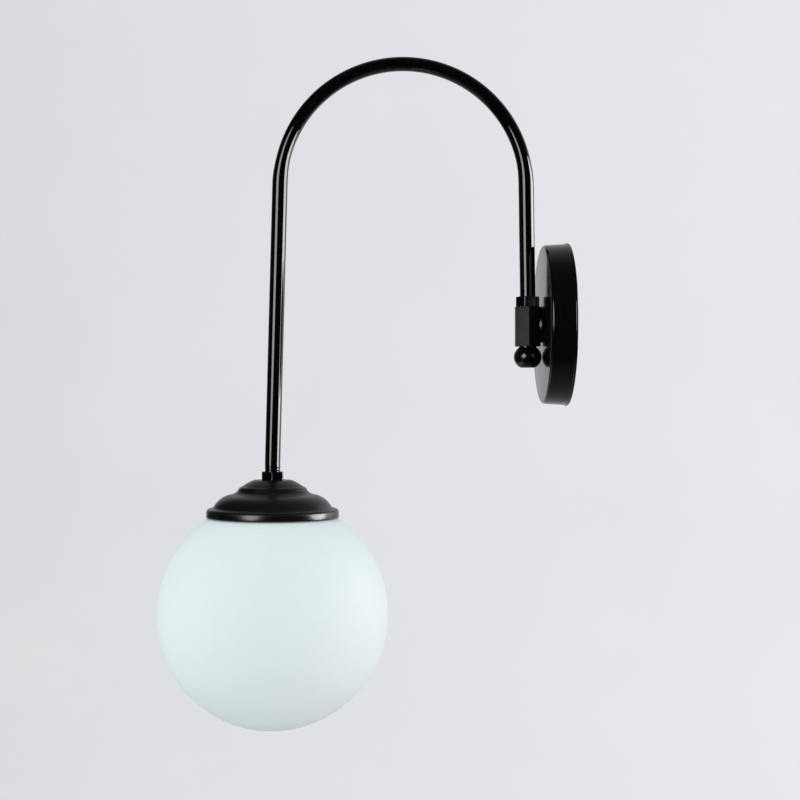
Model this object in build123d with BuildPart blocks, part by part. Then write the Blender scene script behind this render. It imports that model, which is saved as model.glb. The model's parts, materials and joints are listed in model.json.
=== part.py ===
from build123d import *
import os
from math import cos, radians, sin, sqrt, tan

# Globe wall sconce: a gooseneck tube on a round wall plate, with a closed glass globe below it.
# Millimetres, +Z up. The wall is the plane Y = 0 and the lamp stands out from it along -Y.
# The origin is the centre of the mounting bracket's back face, on the wall.

os.makedirs("parts", exist_ok=True)

# ---------------------------------------------------------------- driving dimensions

# Fits between pieces
thread_gap = 0.05           # radial gap in a thread that is drawn plain
running_gap = 0.05          # radial gap where a piece turns or pulls out
face_gap = 0.1              # between faces of pieces that part
seat_gap = 0.3              # between the cover's rim and the globe

# Lamp thread, shared by the tube, the nipple and all four nuts
thread_d = 10.0
thread_pitch = 1.0
thread_depth = 0.45
nut_across_flats = 14.0
nut_corner_cut = 0.9
small_nut_height = 4.0

# Wall plate: a spun cup with a small rolled back edge
plate_d = 105.5
plate_depth = 16.4
plate_side_taper = 1.45     # how much smaller the face's radius is than the back's
plate_sheet = 1.2
plate_edge_fillet = 1.6
rolled_edge_depth = 0.9
rolled_edge_step = 0.5

# Wall bracket: a strap with two bent ears
bracket_sheet = 2.0
bracket_width = 20.0
ear_width = 10.0
ear_depth = 10.0
ear_notch = 5.0             # length of strap that is cut to the ear's width
ear_plate_gap = 0.5
slot_spacing = 66.0
slot_length = 12.0
slot_width = 4.5
set_screw_d = 4.0
set_screw_length = 6.0
set_screw_out = 5.0         # from the wall
set_screw_sunk = 0.4        # tip below the plate's outside
set_screw_socket_r = 1.0
set_screw_socket_depth = 3.0

# Nipple through the plate, with its washer and nut inside and a spacer outside
nipple_bore = 7.0
nipple_past_nut = 1.5
nipple_in_block = 3.8
nipple_washer_d = 22.0
nipple_washer_thickness = 1.5
nipple_nut_turn = 10.0
spacer_d = 24.0
spacer_length = 1.2
spacer_chamfer = 0.2

# Swivel block, its nut and its finial
block_across_flats = 16.0
block_above = 11.6          # top face above the nipple's axis
block_below = 14.1          # bottom face below it
block_corner_cut = 1.0
socket_floor = 0.35         # between the nipple's hole and the tube's end
upper_nut_height = 6.5
upper_nut_turn = -20.0
finial_d = 18.0
finial_height = 13.2
finial_belly_rise = 0.3     # widest ring above the middle
finial_neck_d = 11.2
finial_neck_height = 0.6
finial_foot_d = 9.2
finial_stud_length = 5.6

# Arm tube, bent over a former that flattens it a little
tube_wall = 1.2
bend_radius = 80.0
bend_centre_z = 89.4
bent_thickness = 9.2        # across the tube, in the plane of the bend
bent_width = 10.5           # across the tube, out of that plane
bend_run_in = 14.0          # degrees of bend over which the flattening comes in
run_in_steps = 4
rear_lean = 0.8             # degrees that the rear leg leans towards the bend
front_lean = 1.5
lean_radius = 60.0
bare_thread = 3.7           # thread that shows above the lower nut
first_groove = 0.6          # above the lower nut
groove_width = 0.9
stub_past_thread = 1.0      # straight tube above the bare thread

# Cover: a spun dome in two steps with a rolled rim. Each stretch of its profile, from the top
# down, has a width, a fall and a bulge, which is the arc's height as a share of its chord.
cover_top_z = -100.85
cover_sheet = 1.0
cover_flat_r = 12.3
crown_width = 7.6
crown_fall = 4.2
crown_bulge = 0.03
upper_step_width = 2.55
upper_step_fall = 2.3
upper_step_bulge = 0.12
ledge_width = 4.55
ledge_fall = 2.9
ledge_bulge = -0.095
lower_step_width = 11.15
lower_step_fall = 7.6
lower_step_bulge = 0.112
flange_width = 2.35
flange_fall = 1.5
flange_bulge = -0.14
rim_width = 2.5
rim_fall = 2.2
rim_bulge = 0.2
rim_flare = 0.2
rim_height = 3.7
rim_bead_r = 0.95
lower_nut_height = 5.5
lower_nut_turn = 2.0
cover_washer_d = 19.0
cover_washer_thickness = 1.0
cover_nut_turn = 17.0

# Glass globe, its gallery and its gasket
globe_d = 150.0
glass_wall = 2.5
neck_past_ledge = 3.0       # neck's outside beyond the cover's ledge
neck_below_ledge = 5.45     # neck's top below it
neck_lip_fillet = 0.75
neck_gap = 0.35
gallery_sheet = 1.0
gallery_lip = 4.0
gallery_flange_rise = 0.4   # above the foot of the cover's lower step
gallery_flange_gap = 0.45
gasket_thickness = 1.0
gasket_inset = 0.4

# Lampholder
shell_bore = 27.4
shell_sheet = 0.4
shell_recess = 2.7          # shell's end above the holder's
holder_side = 5.35          # thickness round the shell
holder_wall = 2.0
holder_boss_d = 16.0
holder_boss_height = 7.0
holder_cap_height = 22.0
holder_dome_r = 5.0
holder_length = 51.0
holder_overlap = 4.0
insert_thickness = 6.0
slot_gap = 0.1
contact_sheet = 1.2
contact_leaf = 1.0
live_leaf_reach = 1.5       # past the bulb's axis
contact_width = 5.0
contact_offset = 3.2
terminal_length = 3.4
terminal_height = 2.5
clamp_shank_d = 1.2
clamp_head_height = 0.7
clamp_slot_depth = 0.35

# Bulb
bulb_d = 45.0
bulb_cap_gap = 0.6
bulb_cap_wall = 0.5
bulb_collar_recess = 1.6    # collar's top above the holder's end
bulb_collar_length = 12.0
bulb_thread_depth = 0.8
bulb_thread_pitch = 3.3
bulb_thread_turns = 5
bulb_insulator_height = 3.0
bulb_insulator_taper = 45.0
bulb_tip_d = 9.5
bulb_tip_height = 1.0
bulb_tip_taper = 25.0
bulb_glass_wall = 1.0
bulb_neck_d = 34.0

# Terminal block on the bracket, its clamp screws and the earth terminal
screw_slot = 0.7
screw_tip_gap = 0.2         # between a screw's tip and the wall
pan_head_width = 1.8        # pan heads, as shares of their screw's diameter
pan_head_height = 0.5
fixing_screw_d = 2.5
pole_bore = 2.2
pole_sleeve_wall = 0.5
pole_screw_gap = 0.15
pole_rise = 3.0             # from the strap's face to a pole's axis
terminal_screw_d = 2.4
terminal_screw_sunk = 1.5
terminal_block_drop = 12.0  # from the nipple's axis to the block's top
terminal_block_end = 3.5    # past the outer poles
terminal_block_width = 12.0
terminal_block_thickness = 9.0
terminal_block_corner = 1.0
earth_screw_z = 16.0
earth_screw_d = 4.0
earth_tag_d = 8.0
earth_tag_sheet = 0.8
earth_barrel_wall = 0.4
earth_barrel_length = 4.0
earth_barrel_sunk = 0.1

# Wires, and the places where their straight runs meet
wire_d = 1.6
wire_offset = 1.2
wire_in_block = 1.5
wire_above_block = 2.5
wire_turn_out = 4.4         # from the wall, where the wires turn out to the nipple
wire_split_z = 7.0          # where the wall's wires meet the arm's, in the block
wall_wire_bends = (6.0, 4.4, 6.0)
earth_wire_bends = (20.0, 20.0)
earth_wire_end = 0.5        # below the barrel's top
earth_wire_straight = 5.0
tail_drop = 10.0            # from the cover's top to where the wires part
tail_straight = 1.5
tail_end_straight = 3.0
tail_bends = (3.0, 8.0)

# ---------------------------------------------------------------- places worked out from them

thread_r = thread_d / 2
nut_bore_r = thread_r + thread_gap
plate_inner_y = -plate_depth + plate_sheet
block_back_y = -plate_depth - spacer_length
swivel_out = plate_depth + spacer_length + block_across_flats / 2
tube_rear_end_z = nut_bore_r + socket_floor
straight_from_z = block_above + upper_nut_height
straight_to_z = cover_top_z + lower_nut_height + bare_thread + stub_past_thread

washer_top_z = cover_top_z - cover_sheet
cover_nut_top_z = washer_top_z - cover_washer_thickness
holder_top_z = cover_nut_top_z - small_nut_height
boss_bottom_z = holder_top_z - holder_boss_height

# The arm's line, in (Y, Z): both legs lean a little, with short straight ends
rear = radians(rear_lean)
front = radians(front_lean)
rear_run = (bend_centre_z + (bend_radius - lean_radius) * sin(rear) - straight_from_z) / cos(rear)
front_run = (bend_centre_z + (bend_radius - lean_radius) * sin(front) - straight_to_z) / cos(front)
bend_centre_y = (
    -swivel_out - lean_radius * (1 - cos(rear)) - rear_run * sin(rear) - bend_radius * cos(rear)
)
globe_y = (
    bend_centre_y - bend_radius * cos(front) - front_run * sin(front) - lean_radius * (1 - cos(front))
)
globe_out = -globe_y

crown_r = cover_flat_r + crown_width
upper_step_r = crown_r + upper_step_width
ledge_r = upper_step_r + ledge_width
lower_step_r = ledge_r + lower_step_width
flange_r = lower_step_r + flange_width
rim_r = flange_r + rim_width + rim_flare
crown_z = cover_top_z - crown_fall
upper_step_z = crown_z - upper_step_fall
ledge_z = upper_step_z - ledge_fall
lower_step_z = ledge_z - lower_step_fall
flange_z = lower_step_z - flange_fall
shoulder_z = flange_z - rim_fall
rim_bottom_z = shoulder_z - rim_height

globe_r = globe_d / 2
globe_z = rim_bottom_z - seat_gap - sqrt(globe_r**2 - (rim_r - rim_bead_r) ** 2)

swivel_axis = Axis((0, -swivel_out, 0), (0, 0, 1))
globe_axis = Axis((0, globe_y, 0), (0, 0, 1))
swivel_plane = Plane.XZ.offset(swivel_out)
globe_plane = Plane.XZ.offset(globe_out)


# ---------------------------------------------------------------- helpers


def save(part, label):
    """Label a finished piece and write it to its own file."""
    part.label = label
    export_step(part, f"parts/{label}.step")


def bulged(start, end, share):
    """A point beside the middle of a chord, out to its left by a share of its length."""
    across = end[0] - start[0]
    up = end[1] - start[1]
    return ((start[0] + end[0]) / 2 - up * share, (start[1] + end[1]) / 2 + across * share)


def level(out, z):
    """A level plane on a vertical axis that stands out from the wall."""
    return Plane((0, -out, z), x_dir=(1, 0, 0), z_dir=(0, 0, 1))


def add_hexagon(plane, across_flats, height, turn, corner_cut):
    """Add a hexagon that stands on a plane, its corners turned off at both ends, as the first
    shape of the piece being built."""
    corner_r = across_flats / sqrt(3)
    flat_r = corner_r - corner_cut
    cut_depth = corner_cut * tan(radians(30))
    with BuildSketch(plane) as hexagon:
        RegularPolygon(across_flats / 2, 6, major_radius=False, rotation=turn)
    extrude(hexagon.sketch, amount=height)
    with BuildSketch(Plane(plane.origin, x_dir=plane.x_dir, z_dir=-plane.y_dir)) as turning:
        with BuildLine():
            Polyline(
                (0, 0),
                (flat_r, 0),
                (corner_r, cut_depth),
                (corner_r, height - cut_depth),
                (flat_r, height),
                (0, height),
                close=True,
            )
        make_face()
    revolve(turning.sketch, axis=Axis(plane.origin, plane.z_dir), mode=Mode.INTERSECT)


def add_ring(plane, outer_r, inner_r, height):
    """Add a flat ring that stands on a plane, in the piece being built."""
    with BuildSketch(plane) as flat:
        Circle(outer_r)
        Circle(inner_r, mode=Mode.SUBTRACT)
    extrude(flat.sketch, amount=height)


def add_wire(points, radii):
    """Add a round wire along straight runs joined by arcs, in the piece being built."""
    with BuildLine() as route:
        FilletPolyline(*points, radius=radii)
    with BuildSketch(Plane(route.line @ 0, z_dir=route.line % 0)) as section:
        Circle(wire_d / 2)
    sweep(section.sketch, path=route.line)


def bore(plane, radius, depth):
    """Cut a round hole from a plane, along its normal, in the piece being built."""
    with BuildSketch(plane) as hole:
        Circle(radius)
    extrude(hole.sketch, amount=depth, mode=Mode.SUBTRACT)


def cut_slot(plane, length, depth):
    """Cut a driver's slot down into a screw's head from a plane on top of it."""
    with BuildSketch(plane) as slot:
        Rectangle(length, screw_slot)
    extrude(slot.sketch, amount=-depth, mode=Mode.SUBTRACT)


# ---------------------------------------------------------------- wall plate and bracket

back_r = plate_d / 2
face_r = back_r - plate_side_taper
side_back_y = -2 * rolled_edge_depth

with BuildPart() as wall_plate:
    with BuildSketch(Plane.XY) as cup:
        with BuildLine():
            Polyline(
                (nut_bore_r, -plate_depth),
                (face_r, -plate_depth),
                (back_r - rolled_edge_step, side_back_y),
                (back_r, -rolled_edge_depth),
                (back_r, 0),
                (back_r - rolled_edge_step - plate_sheet, 0),
                (face_r - plate_sheet, plate_inner_y),
                (nut_bore_r, plate_inner_y),
                close=True,
            )
        make_face()
        fillet(cup.vertices().group_by(Axis.Y)[0].sort_by(Axis.X)[-1], plate_edge_fillet)
    revolve(axis=Axis.Y)
    with BuildSketch(Plane.XY.offset(-back_r)):
        with Locations((0, -set_screw_out)):
            Circle(set_screw_d / 2 + 2 * thread_gap)
    extrude(amount=plate_d, mode=Mode.SUBTRACT)
save(wall_plate.part, "wall_plate")

# The plate's outside radius at the set screws, and its inside radius at the ears' tips
side_slope = (back_r - rolled_edge_step - face_r) / (plate_depth + side_back_y)
rim_at_screw = face_r + (plate_depth - set_screw_out) * side_slope
rim_at_ear = face_r - plate_sheet + (plate_depth - ear_depth) * side_slope
ear_outer_z = sqrt((rim_at_ear - ear_plate_gap) ** 2 - (ear_width / 2) ** 2)
ear_inner_z = ear_outer_z - bracket_sheet

# Poles of the terminal block, along X
sleeve_r = pole_bore / 2 + pole_sleeve_wall
pole_pitch = 2 * sleeve_r + fixing_screw_d + 2 * pole_screw_gap
pole_xs = (-pole_pitch, 0, pole_pitch)
pole_out = bracket_sheet + pole_rise
terminal_block_top_z = -terminal_block_drop
terminal_block_middle_z = terminal_block_top_z - terminal_block_width / 2
terminal_block_face_out = bracket_sheet + terminal_block_thickness
fixing_screw_at = (pole_pitch / 2, terminal_block_middle_z)
earth_screw_at = (-pole_pitch, earth_screw_z)

with BuildPart() as wall_bracket:
    with BuildSketch(Plane.YZ):
        with BuildLine():
            Polyline(
                (0, -ear_outer_z),
                (-ear_depth, -ear_outer_z),
                (-ear_depth, -ear_inner_z),
                (-bracket_sheet, -ear_inner_z),
                (-bracket_sheet, ear_inner_z),
                (-ear_depth, ear_inner_z),
                (-ear_depth, ear_outer_z),
                (0, ear_outer_z),
                close=True,
            )
        make_face()
    extrude(amount=bracket_width / 2, both=True)
    notch_width = (bracket_width - ear_width) / 2
    notch_x = (bracket_width + ear_width) / 4
    notch_z = ear_outer_z - ear_notch / 2
    with BuildSketch(Plane.XZ):
        with GridLocations(2 * notch_x, 2 * notch_z, 2, 2):
            Rectangle(notch_width, ear_notch)
    extrude(amount=ear_depth, mode=Mode.SUBTRACT)
    with BuildSketch(Plane.XZ):
        with GridLocations(0, slot_spacing, 1, 2):
            SlotOverall(slot_length, slot_width, rotation=90)
        with Locations(earth_screw_at):
            Circle(earth_screw_d / 2 + thread_gap)
        with Locations(fixing_screw_at):
            Circle(fixing_screw_d / 2 + thread_gap)
    extrude(amount=bracket_sheet, mode=Mode.SUBTRACT)
    with BuildSketch(Plane.XY.offset(-ear_outer_z)):
        with Locations((0, -set_screw_out)):
            Circle(set_screw_d / 2 + thread_gap)
    extrude(amount=2 * ear_outer_z, mode=Mode.SUBTRACT)
save(wall_bracket.part, "wall_bracket")

with BuildPart() as plate_set_screws:
    tip_z = rim_at_screw - set_screw_sunk
    with BuildSketch(Plane.XY.offset(tip_z)):
        with Locations((0, -set_screw_out)):
            Circle(set_screw_d / 2)
    extrude(amount=-set_screw_length)
    with BuildSketch(Plane.XY.offset(tip_z)):
        with Locations((0, -set_screw_out)):
            RegularPolygon(set_screw_socket_r, 6)
    extrude(amount=-set_screw_socket_depth, mode=Mode.SUBTRACT)
    mirror(about=Plane.XY)
save(plate_set_screws.part, "plate_set_screws")

# ---------------------------------------------------------------- nipple, spacer, washer and nut

nipple_nut_y = plate_inner_y + nipple_washer_thickness
nipple_end_y = nipple_nut_y + small_nut_height + nipple_past_nut
nipple_start_y = block_back_y - nipple_in_block

with BuildPart() as mounting_nipple:
    add_ring(Plane.XZ.offset(-nipple_end_y), thread_r, nipple_bore / 2, nipple_end_y - nipple_start_y)
save(mounting_nipple.part, "mounting_nipple")

with BuildPart() as spacer_ring:
    add_ring(Plane.XZ.offset(plate_depth), spacer_d / 2, nut_bore_r, spacer_length)
    chamfer(spacer_ring.edges().filter_by(GeomType.CIRCLE).sort_by(SortBy.RADIUS)[-2:], spacer_chamfer)
save(spacer_ring.part, "spacer_ring")

with BuildPart() as nipple_washer:
    add_ring(
        Plane.XZ.offset(-nipple_nut_y), nipple_washer_d / 2, nut_bore_r, nipple_washer_thickness
    )
save(nipple_washer.part, "nipple_washer")

with BuildPart() as nipple_nut:
    nut_back = Plane.XZ.offset(-nipple_nut_y - small_nut_height)
    add_hexagon(nut_back, nut_across_flats, small_nut_height, nipple_nut_turn, nut_corner_cut)
    bore(nut_back, nut_bore_r, small_nut_height)
save(nipple_nut.part, "nipple_nut")

# ---------------------------------------------------------------- swivel block, its nut and finial

block_height = block_above + block_below
tube_bore_r = thread_r - tube_wall

with BuildPart() as swivel_block:
    block_foot = level(swivel_out, -block_below)
    add_hexagon(block_foot, block_across_flats, block_height, 0, block_corner_cut)
    bore(level(swivel_out, tube_rear_end_z - face_gap), thread_r + running_gap, block_height)
    bore(block_foot, thread_r + running_gap, finial_stud_length + face_gap)
    bore(block_foot, tube_bore_r, block_height)
    bore(Plane.XZ.offset(-nipple_start_y + face_gap), nut_bore_r, -block_across_flats)
    bore(swivel_plane, nipple_bore / 2, -block_across_flats)
save(swivel_block.part, "swivel_block")

with BuildPart() as upper_lock_nut:
    block_head = level(swivel_out, block_above)
    add_hexagon(block_head, nut_across_flats, upper_nut_height, upper_nut_turn, nut_corner_cut)
    bore(block_head, nut_bore_r, upper_nut_height)
save(upper_lock_nut.part, "upper_lock_nut")

with BuildPart() as bun_finial:
    stud_top_z = -block_below + finial_stud_length
    bun_top_z = -block_below - finial_neck_height
    bun_bottom_z = bun_top_z - finial_height
    belly_z = (bun_top_z + bun_bottom_z) / 2 + finial_belly_rise
    with BuildSketch(swivel_plane):
        with BuildLine():
            Polyline(
                (finial_foot_d / 2, bun_bottom_z),
                (0, bun_bottom_z),
                (0, stud_top_z),
                (thread_r, stud_top_z),
                (thread_r, -block_below),
                (finial_neck_d / 2, -block_below),
                (finial_neck_d / 2, bun_top_z),
            )
            ThreePointArc(
                (finial_neck_d / 2, bun_top_z), (finial_d / 2, belly_z), (finial_foot_d / 2, bun_bottom_z)
            )
        make_face()
    revolve(axis=swivel_axis)
save(bun_finial.part, "bun_finial")

# ---------------------------------------------------------------- arm tube

bend_axis = Axis((0, bend_centre_y, bend_centre_z), (1, 0, 0))
bend_turn = 180 - rear_lean - front_lean


def bend_plane(turned):
    """The plane across the tube after a turn round the bend, in degrees, X along its own X."""
    angle = radians(rear_lean + turned)
    origin = (0, bend_centre_y + bend_radius * cos(angle), bend_centre_z + bend_radius * sin(angle))
    return Plane(origin, x_dir=(1, 0, 0), z_dir=(0, -sin(angle), cos(angle)))


def leg_route(x, start_z, end_z, leg_y, lean, run_length):
    """One leg's line from its straight end: up, over by its lean, and on to the bend."""
    with BuildLine(Plane.YZ.offset(x)) as route:
        stub = Line((leg_y, start_z), (leg_y, end_z))
        set_over = JernArc(stub @ 1, stub % 1, lean_radius, lean)
        Line(set_over @ 1, set_over @ 1 + (set_over % 1) * run_length)
    return route.line


def arm_form(inset):
    """The tube's outer form, or its bore when inset by the wall."""
    round_r = thread_r - inset
    half_width = bent_width / 2 - inset
    half_thick = bent_thickness / 2 - inset
    legs = (
        (-swivel_out, tube_rear_end_z, straight_from_z, rear_lean, rear_run),
        (globe_y, boss_bottom_z, straight_to_z, -front_lean, front_run),
    )
    with BuildPart() as form:
        for leg_y, end_z, straight_z, lean, run_length in legs:
            route = leg_route(0, end_z, straight_z, leg_y, lean, run_length)
            with BuildSketch(level(-leg_y, end_z)):
                Circle(round_r)
            sweep(path=route)
        for first, last in ((0, bend_run_in), (bend_turn, bend_turn - bend_run_in)):
            for step in range(run_in_steps + 1):
                share = step / run_in_steps
                eased = share * share * (3 - 2 * share)
                with BuildSketch(bend_plane(first + (last - first) * share)):
                    Ellipse(
                        round_r + (half_width - round_r) * eased,
                        round_r + (half_thick - round_r) * eased,
                    )
            loft()
        with BuildSketch(bend_plane(bend_run_in)):
            Ellipse(half_width, half_thick)
        revolve(axis=bend_axis, revolution_arc=bend_turn - 2 * bend_run_in)
    return form.part


tube_outside = arm_form(0)
tube_inside = arm_form(tube_wall)

with BuildPart() as arm_tube:
    add(tube_outside)
    add(tube_inside, mode=Mode.SUBTRACT)
    for turn in range(int(bare_thread / thread_pitch)):
        groove_z = cover_top_z + lower_nut_height + first_groove + turn * thread_pitch
        with BuildSketch(globe_plane):
            with BuildLine():
                Polyline(
                    (thread_r, groove_z - groove_width / 2),
                    (thread_r - thread_depth, groove_z),
                    (thread_r, groove_z + groove_width / 2),
                    (thread_r + thread_depth, groove_z),
                    close=True,
                )
            make_face()
        revolve(axis=globe_axis, mode=Mode.SUBTRACT)
save(arm_tube.part, "arm_tube")

with BuildPart() as lower_lock_nut:
    cover_top = level(globe_out, cover_top_z)
    add_hexagon(cover_top, nut_across_flats, lower_nut_height, lower_nut_turn, nut_corner_cut)
    bore(cover_top, nut_bore_r, lower_nut_height)
save(lower_lock_nut.part, "lower_lock_nut")

# ---------------------------------------------------------------- cover and its fixings

with BuildPart() as shade_cover:
    stretches = (
        ((crown_r, crown_z), crown_bulge),
        ((upper_step_r, upper_step_z), upper_step_bulge),
        ((ledge_r, ledge_z), ledge_bulge),
        ((lower_step_r, lower_step_z), lower_step_bulge),
        ((flange_r, flange_z), flange_bulge),
        ((rim_r - rim_flare, shoulder_z), rim_bulge),
    )
    bead_z = rim_bottom_z + rim_bead_r
    with BuildSketch(globe_plane):
        with BuildLine():
            reached = (cover_flat_r, cover_top_z)
            Line((nut_bore_r, cover_top_z), reached)
            for end, share in stretches:
                ThreePointArc(reached, bulged(reached, end, share), end)
                reached = end
            Line(reached, (rim_r, bead_z))
            offset(amount=cover_sheet, side=Side.RIGHT, closed=True)
        make_face()
        with Locations((rim_r - rim_bead_r, bead_z)):
            Circle(rim_bead_r)
    revolve(axis=globe_axis)
save(shade_cover.part, "shade_cover")

with BuildPart() as cover_washer:
    add_ring(level(globe_out, cover_nut_top_z), cover_washer_d / 2, nut_bore_r, cover_washer_thickness)
save(cover_washer.part, "cover_washer")

with BuildPart() as cover_nut:
    holder_top = level(globe_out, holder_top_z)
    add_hexagon(holder_top, nut_across_flats, small_nut_height, cover_nut_turn, nut_corner_cut)
    bore(holder_top, nut_bore_r, small_nut_height)
save(cover_nut.part, "cover_nut")

# ---------------------------------------------------------------- gallery, gasket and globe

neck_r = ledge_r + neck_past_ledge
neck_top_z = ledge_z - neck_below_ledge
gasket_bottom_z = neck_top_z + face_gap
gasket_top_z = gasket_bottom_z + gasket_thickness
gallery_r = neck_r + neck_gap
gallery_top_z = gasket_top_z + gallery_sheet
gallery_flange_z = lower_step_z + gallery_flange_rise
gallery_flange_r = lower_step_r - cover_sheet - gallery_flange_gap

with BuildPart() as gallery_ring:
    with BuildSketch(globe_plane):
        with BuildLine():
            Polyline(
                (gallery_r - gallery_lip, gallery_top_z),
                (gallery_r + gallery_sheet, gallery_top_z),
                (gallery_r + gallery_sheet, gallery_flange_z),
                (gallery_flange_r, gallery_flange_z),
                (gallery_flange_r, gallery_flange_z - gallery_sheet),
                (gallery_r, gallery_flange_z - gallery_sheet),
                (gallery_r, gasket_top_z),
                (gallery_r - gallery_lip, gasket_top_z),
                close=True,
            )
        make_face()
    revolve(axis=globe_axis)
save(gallery_ring.part, "gallery_ring")

with BuildPart() as globe_gasket:
    gasket_inner_r = gallery_r - gallery_lip + gasket_inset
    add_ring(level(globe_out, gasket_bottom_z), gallery_r, gasket_inner_r, gasket_thickness)
save(globe_gasket.part, "globe_gasket")

with BuildPart() as glass_globe:
    mouth_r = neck_r - glass_wall
    inner_r = globe_r - glass_wall
    shoulder_out_z = globe_z + sqrt(globe_r**2 - neck_r**2)
    shoulder_in_z = globe_z + sqrt(inner_r**2 - mouth_r**2)
    with BuildSketch(globe_plane) as glass:
        with BuildLine():
            ThreePointArc((0, globe_z - globe_r), (globe_r, globe_z), (neck_r, shoulder_out_z))
            Polyline(
                (neck_r, shoulder_out_z),
                (neck_r, neck_top_z),
                (mouth_r, neck_top_z),
                (mouth_r, shoulder_in_z),
            )
            ThreePointArc((mouth_r, shoulder_in_z), (inner_r, globe_z), (0, globe_z - inner_r))
            Line((0, globe_z - inner_r), (0, globe_z - globe_r))
        make_face()
        fillet(glass.vertices().sort_by(Axis.Y)[-2:], neck_lip_fillet)
    revolve(axis=globe_axis)
save(glass_globe.part, "glass_globe")

# ---------------------------------------------------------------- lampholder

shell_r = shell_bore / 2 + shell_sheet
sleeve_bore_r = shell_r + running_gap
holder_r = sleeve_bore_r + holder_side
holder_bottom_z = holder_top_z - holder_length
cap_bottom_z = holder_top_z - holder_cap_height
cap_bore_r = holder_r - holder_wall
cap_inner_z = boss_bottom_z - holder_wall

with BuildPart() as holder_cap:
    with BuildSketch(globe_plane) as cap:
        with BuildLine():
            Polyline(
                (nut_bore_r, holder_top_z),
                (holder_boss_d / 2, holder_top_z),
                (holder_boss_d / 2, boss_bottom_z),
                (holder_r, boss_bottom_z),
                (holder_r, cap_bottom_z),
                (cap_bore_r, cap_bottom_z),
                (cap_bore_r, cap_inner_z),
                (nut_bore_r, cap_inner_z),
                close=True,
            )
        make_face()
        fillet(cap.vertices().group_by(Axis.X)[-1].sort_by(Axis.Y)[-1], holder_dome_r)
        inner_corner = cap.vertices().sort_by_distance((cap_bore_r, cap_inner_z))[0]
        fillet(inner_corner, holder_dome_r - holder_wall)
    revolve(axis=globe_axis)
save(holder_cap.part, "holder_cap")

sleeve_top_z = cap_bottom_z + holder_overlap
tongue_outer_r = cap_bore_r - thread_gap
tongue_inner_r = tongue_outer_r - holder_wall + thread_gap
insert_r = tongue_inner_r - thread_gap
insert_bottom_z = cap_bottom_z - 2 * thread_gap
insert_top_z = insert_bottom_z + insert_thickness

with BuildPart() as holder_sleeve:
    with BuildSketch(globe_plane):
        with BuildLine():
            Polyline(
                (sleeve_bore_r, holder_bottom_z),
                (holder_r, holder_bottom_z),
                (holder_r, cap_bottom_z - thread_gap),
                (tongue_outer_r, cap_bottom_z - thread_gap),
                (tongue_outer_r, sleeve_top_z),
                (tongue_inner_r, sleeve_top_z),
                (tongue_inner_r, insert_bottom_z),
                (sleeve_bore_r, insert_bottom_z),
                close=True,
            )
        make_face()
    revolve(axis=globe_axis)
save(holder_sleeve.part, "holder_sleeve")

with BuildPart() as holder_insert:
    with BuildSketch(level(globe_out, insert_bottom_z)):
        Circle(insert_r)
        with GridLocations(2 * contact_offset, 0, 2, 1):
            Rectangle(contact_sheet + 2 * slot_gap, contact_width + 2 * slot_gap, mode=Mode.SUBTRACT)
    extrude(amount=insert_thickness)
save(holder_insert.part, "holder_insert")

terminal_top_z = insert_top_z + terminal_height
clamp_z = insert_top_z + terminal_height / 2
spring_z = insert_bottom_z - contact_sheet
leaf_inner_x = contact_offset - contact_sheet / 2
leaf_outer_x = contact_offset + contact_sheet / 2


def clamp_plane(x):
    """A plane across the axis of a contact's clamp screw, facing away from the middle."""
    return Plane((x, globe_y, clamp_z), x_dir=(0, 1, 0), z_dir=(x, 0, 0))


def add_terminal(side):
    """Add the block that a wire is clamped in, over a strip that goes down through the insert."""
    with BuildSketch(level(globe_out, insert_top_z)) as block:
        with Locations((side * contact_offset, 0)):
            Rectangle(terminal_length, contact_width)
    extrude(block.sketch, amount=terminal_height)
    with BuildSketch(level(globe_out, spring_z)) as strip:
        with Locations((side * contact_offset, 0)):
            Rectangle(contact_sheet, contact_width)
    extrude(strip.sketch, amount=insert_top_z - spring_z)
    bore(clamp_plane(side * contact_offset), clamp_shank_d / 2 + thread_gap, terminal_length)


def add_leaf(from_x, to_x):
    """Add a contact's flat leaf below the insert, in the piece being built."""
    with BuildSketch(level(globe_out, spring_z)) as leaf:
        with Locations(((from_x + to_x) / 2, 0)):
            Rectangle(abs(to_x - from_x), contact_width)
    extrude(leaf.sketch, amount=contact_leaf)


with BuildPart() as live_contact:
    add_terminal(1)
    add_leaf(-live_leaf_reach, leaf_outer_x)
save(live_contact.part, "live_contact")

with BuildPart() as neutral_contact:
    add_terminal(-1)
    add_leaf(-leaf_inner_x, -shell_r + shell_sheet / 2)
save(neutral_contact.part, "neutral_contact")

with BuildPart() as holder_terminal_screws:
    for side in (1, -1):
        seat_x = side * (contact_offset + terminal_length / 2)
        head_plane = clamp_plane(seat_x + side * clamp_head_height)
        with BuildSketch(clamp_plane(seat_x)):
            Circle(clamp_shank_d / 2)
        extrude(amount=-terminal_length / 2)
        with BuildSketch(clamp_plane(seat_x)):
            Circle(terminal_screw_d / 2)
        extrude(amount=clamp_head_height)
        cut_slot(head_plane, 2 * terminal_screw_d, clamp_slot_depth)
save(holder_terminal_screws.part, "holder_terminal_screws")

with BuildPart() as screw_shell:
    shell_end_z = holder_bottom_z + shell_recess
    add_ring(level(globe_out, shell_end_z), shell_r, shell_bore / 2, spring_z - shell_end_z)
save(screw_shell.part, "screw_shell")

# ---------------------------------------------------------------- bulb

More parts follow.
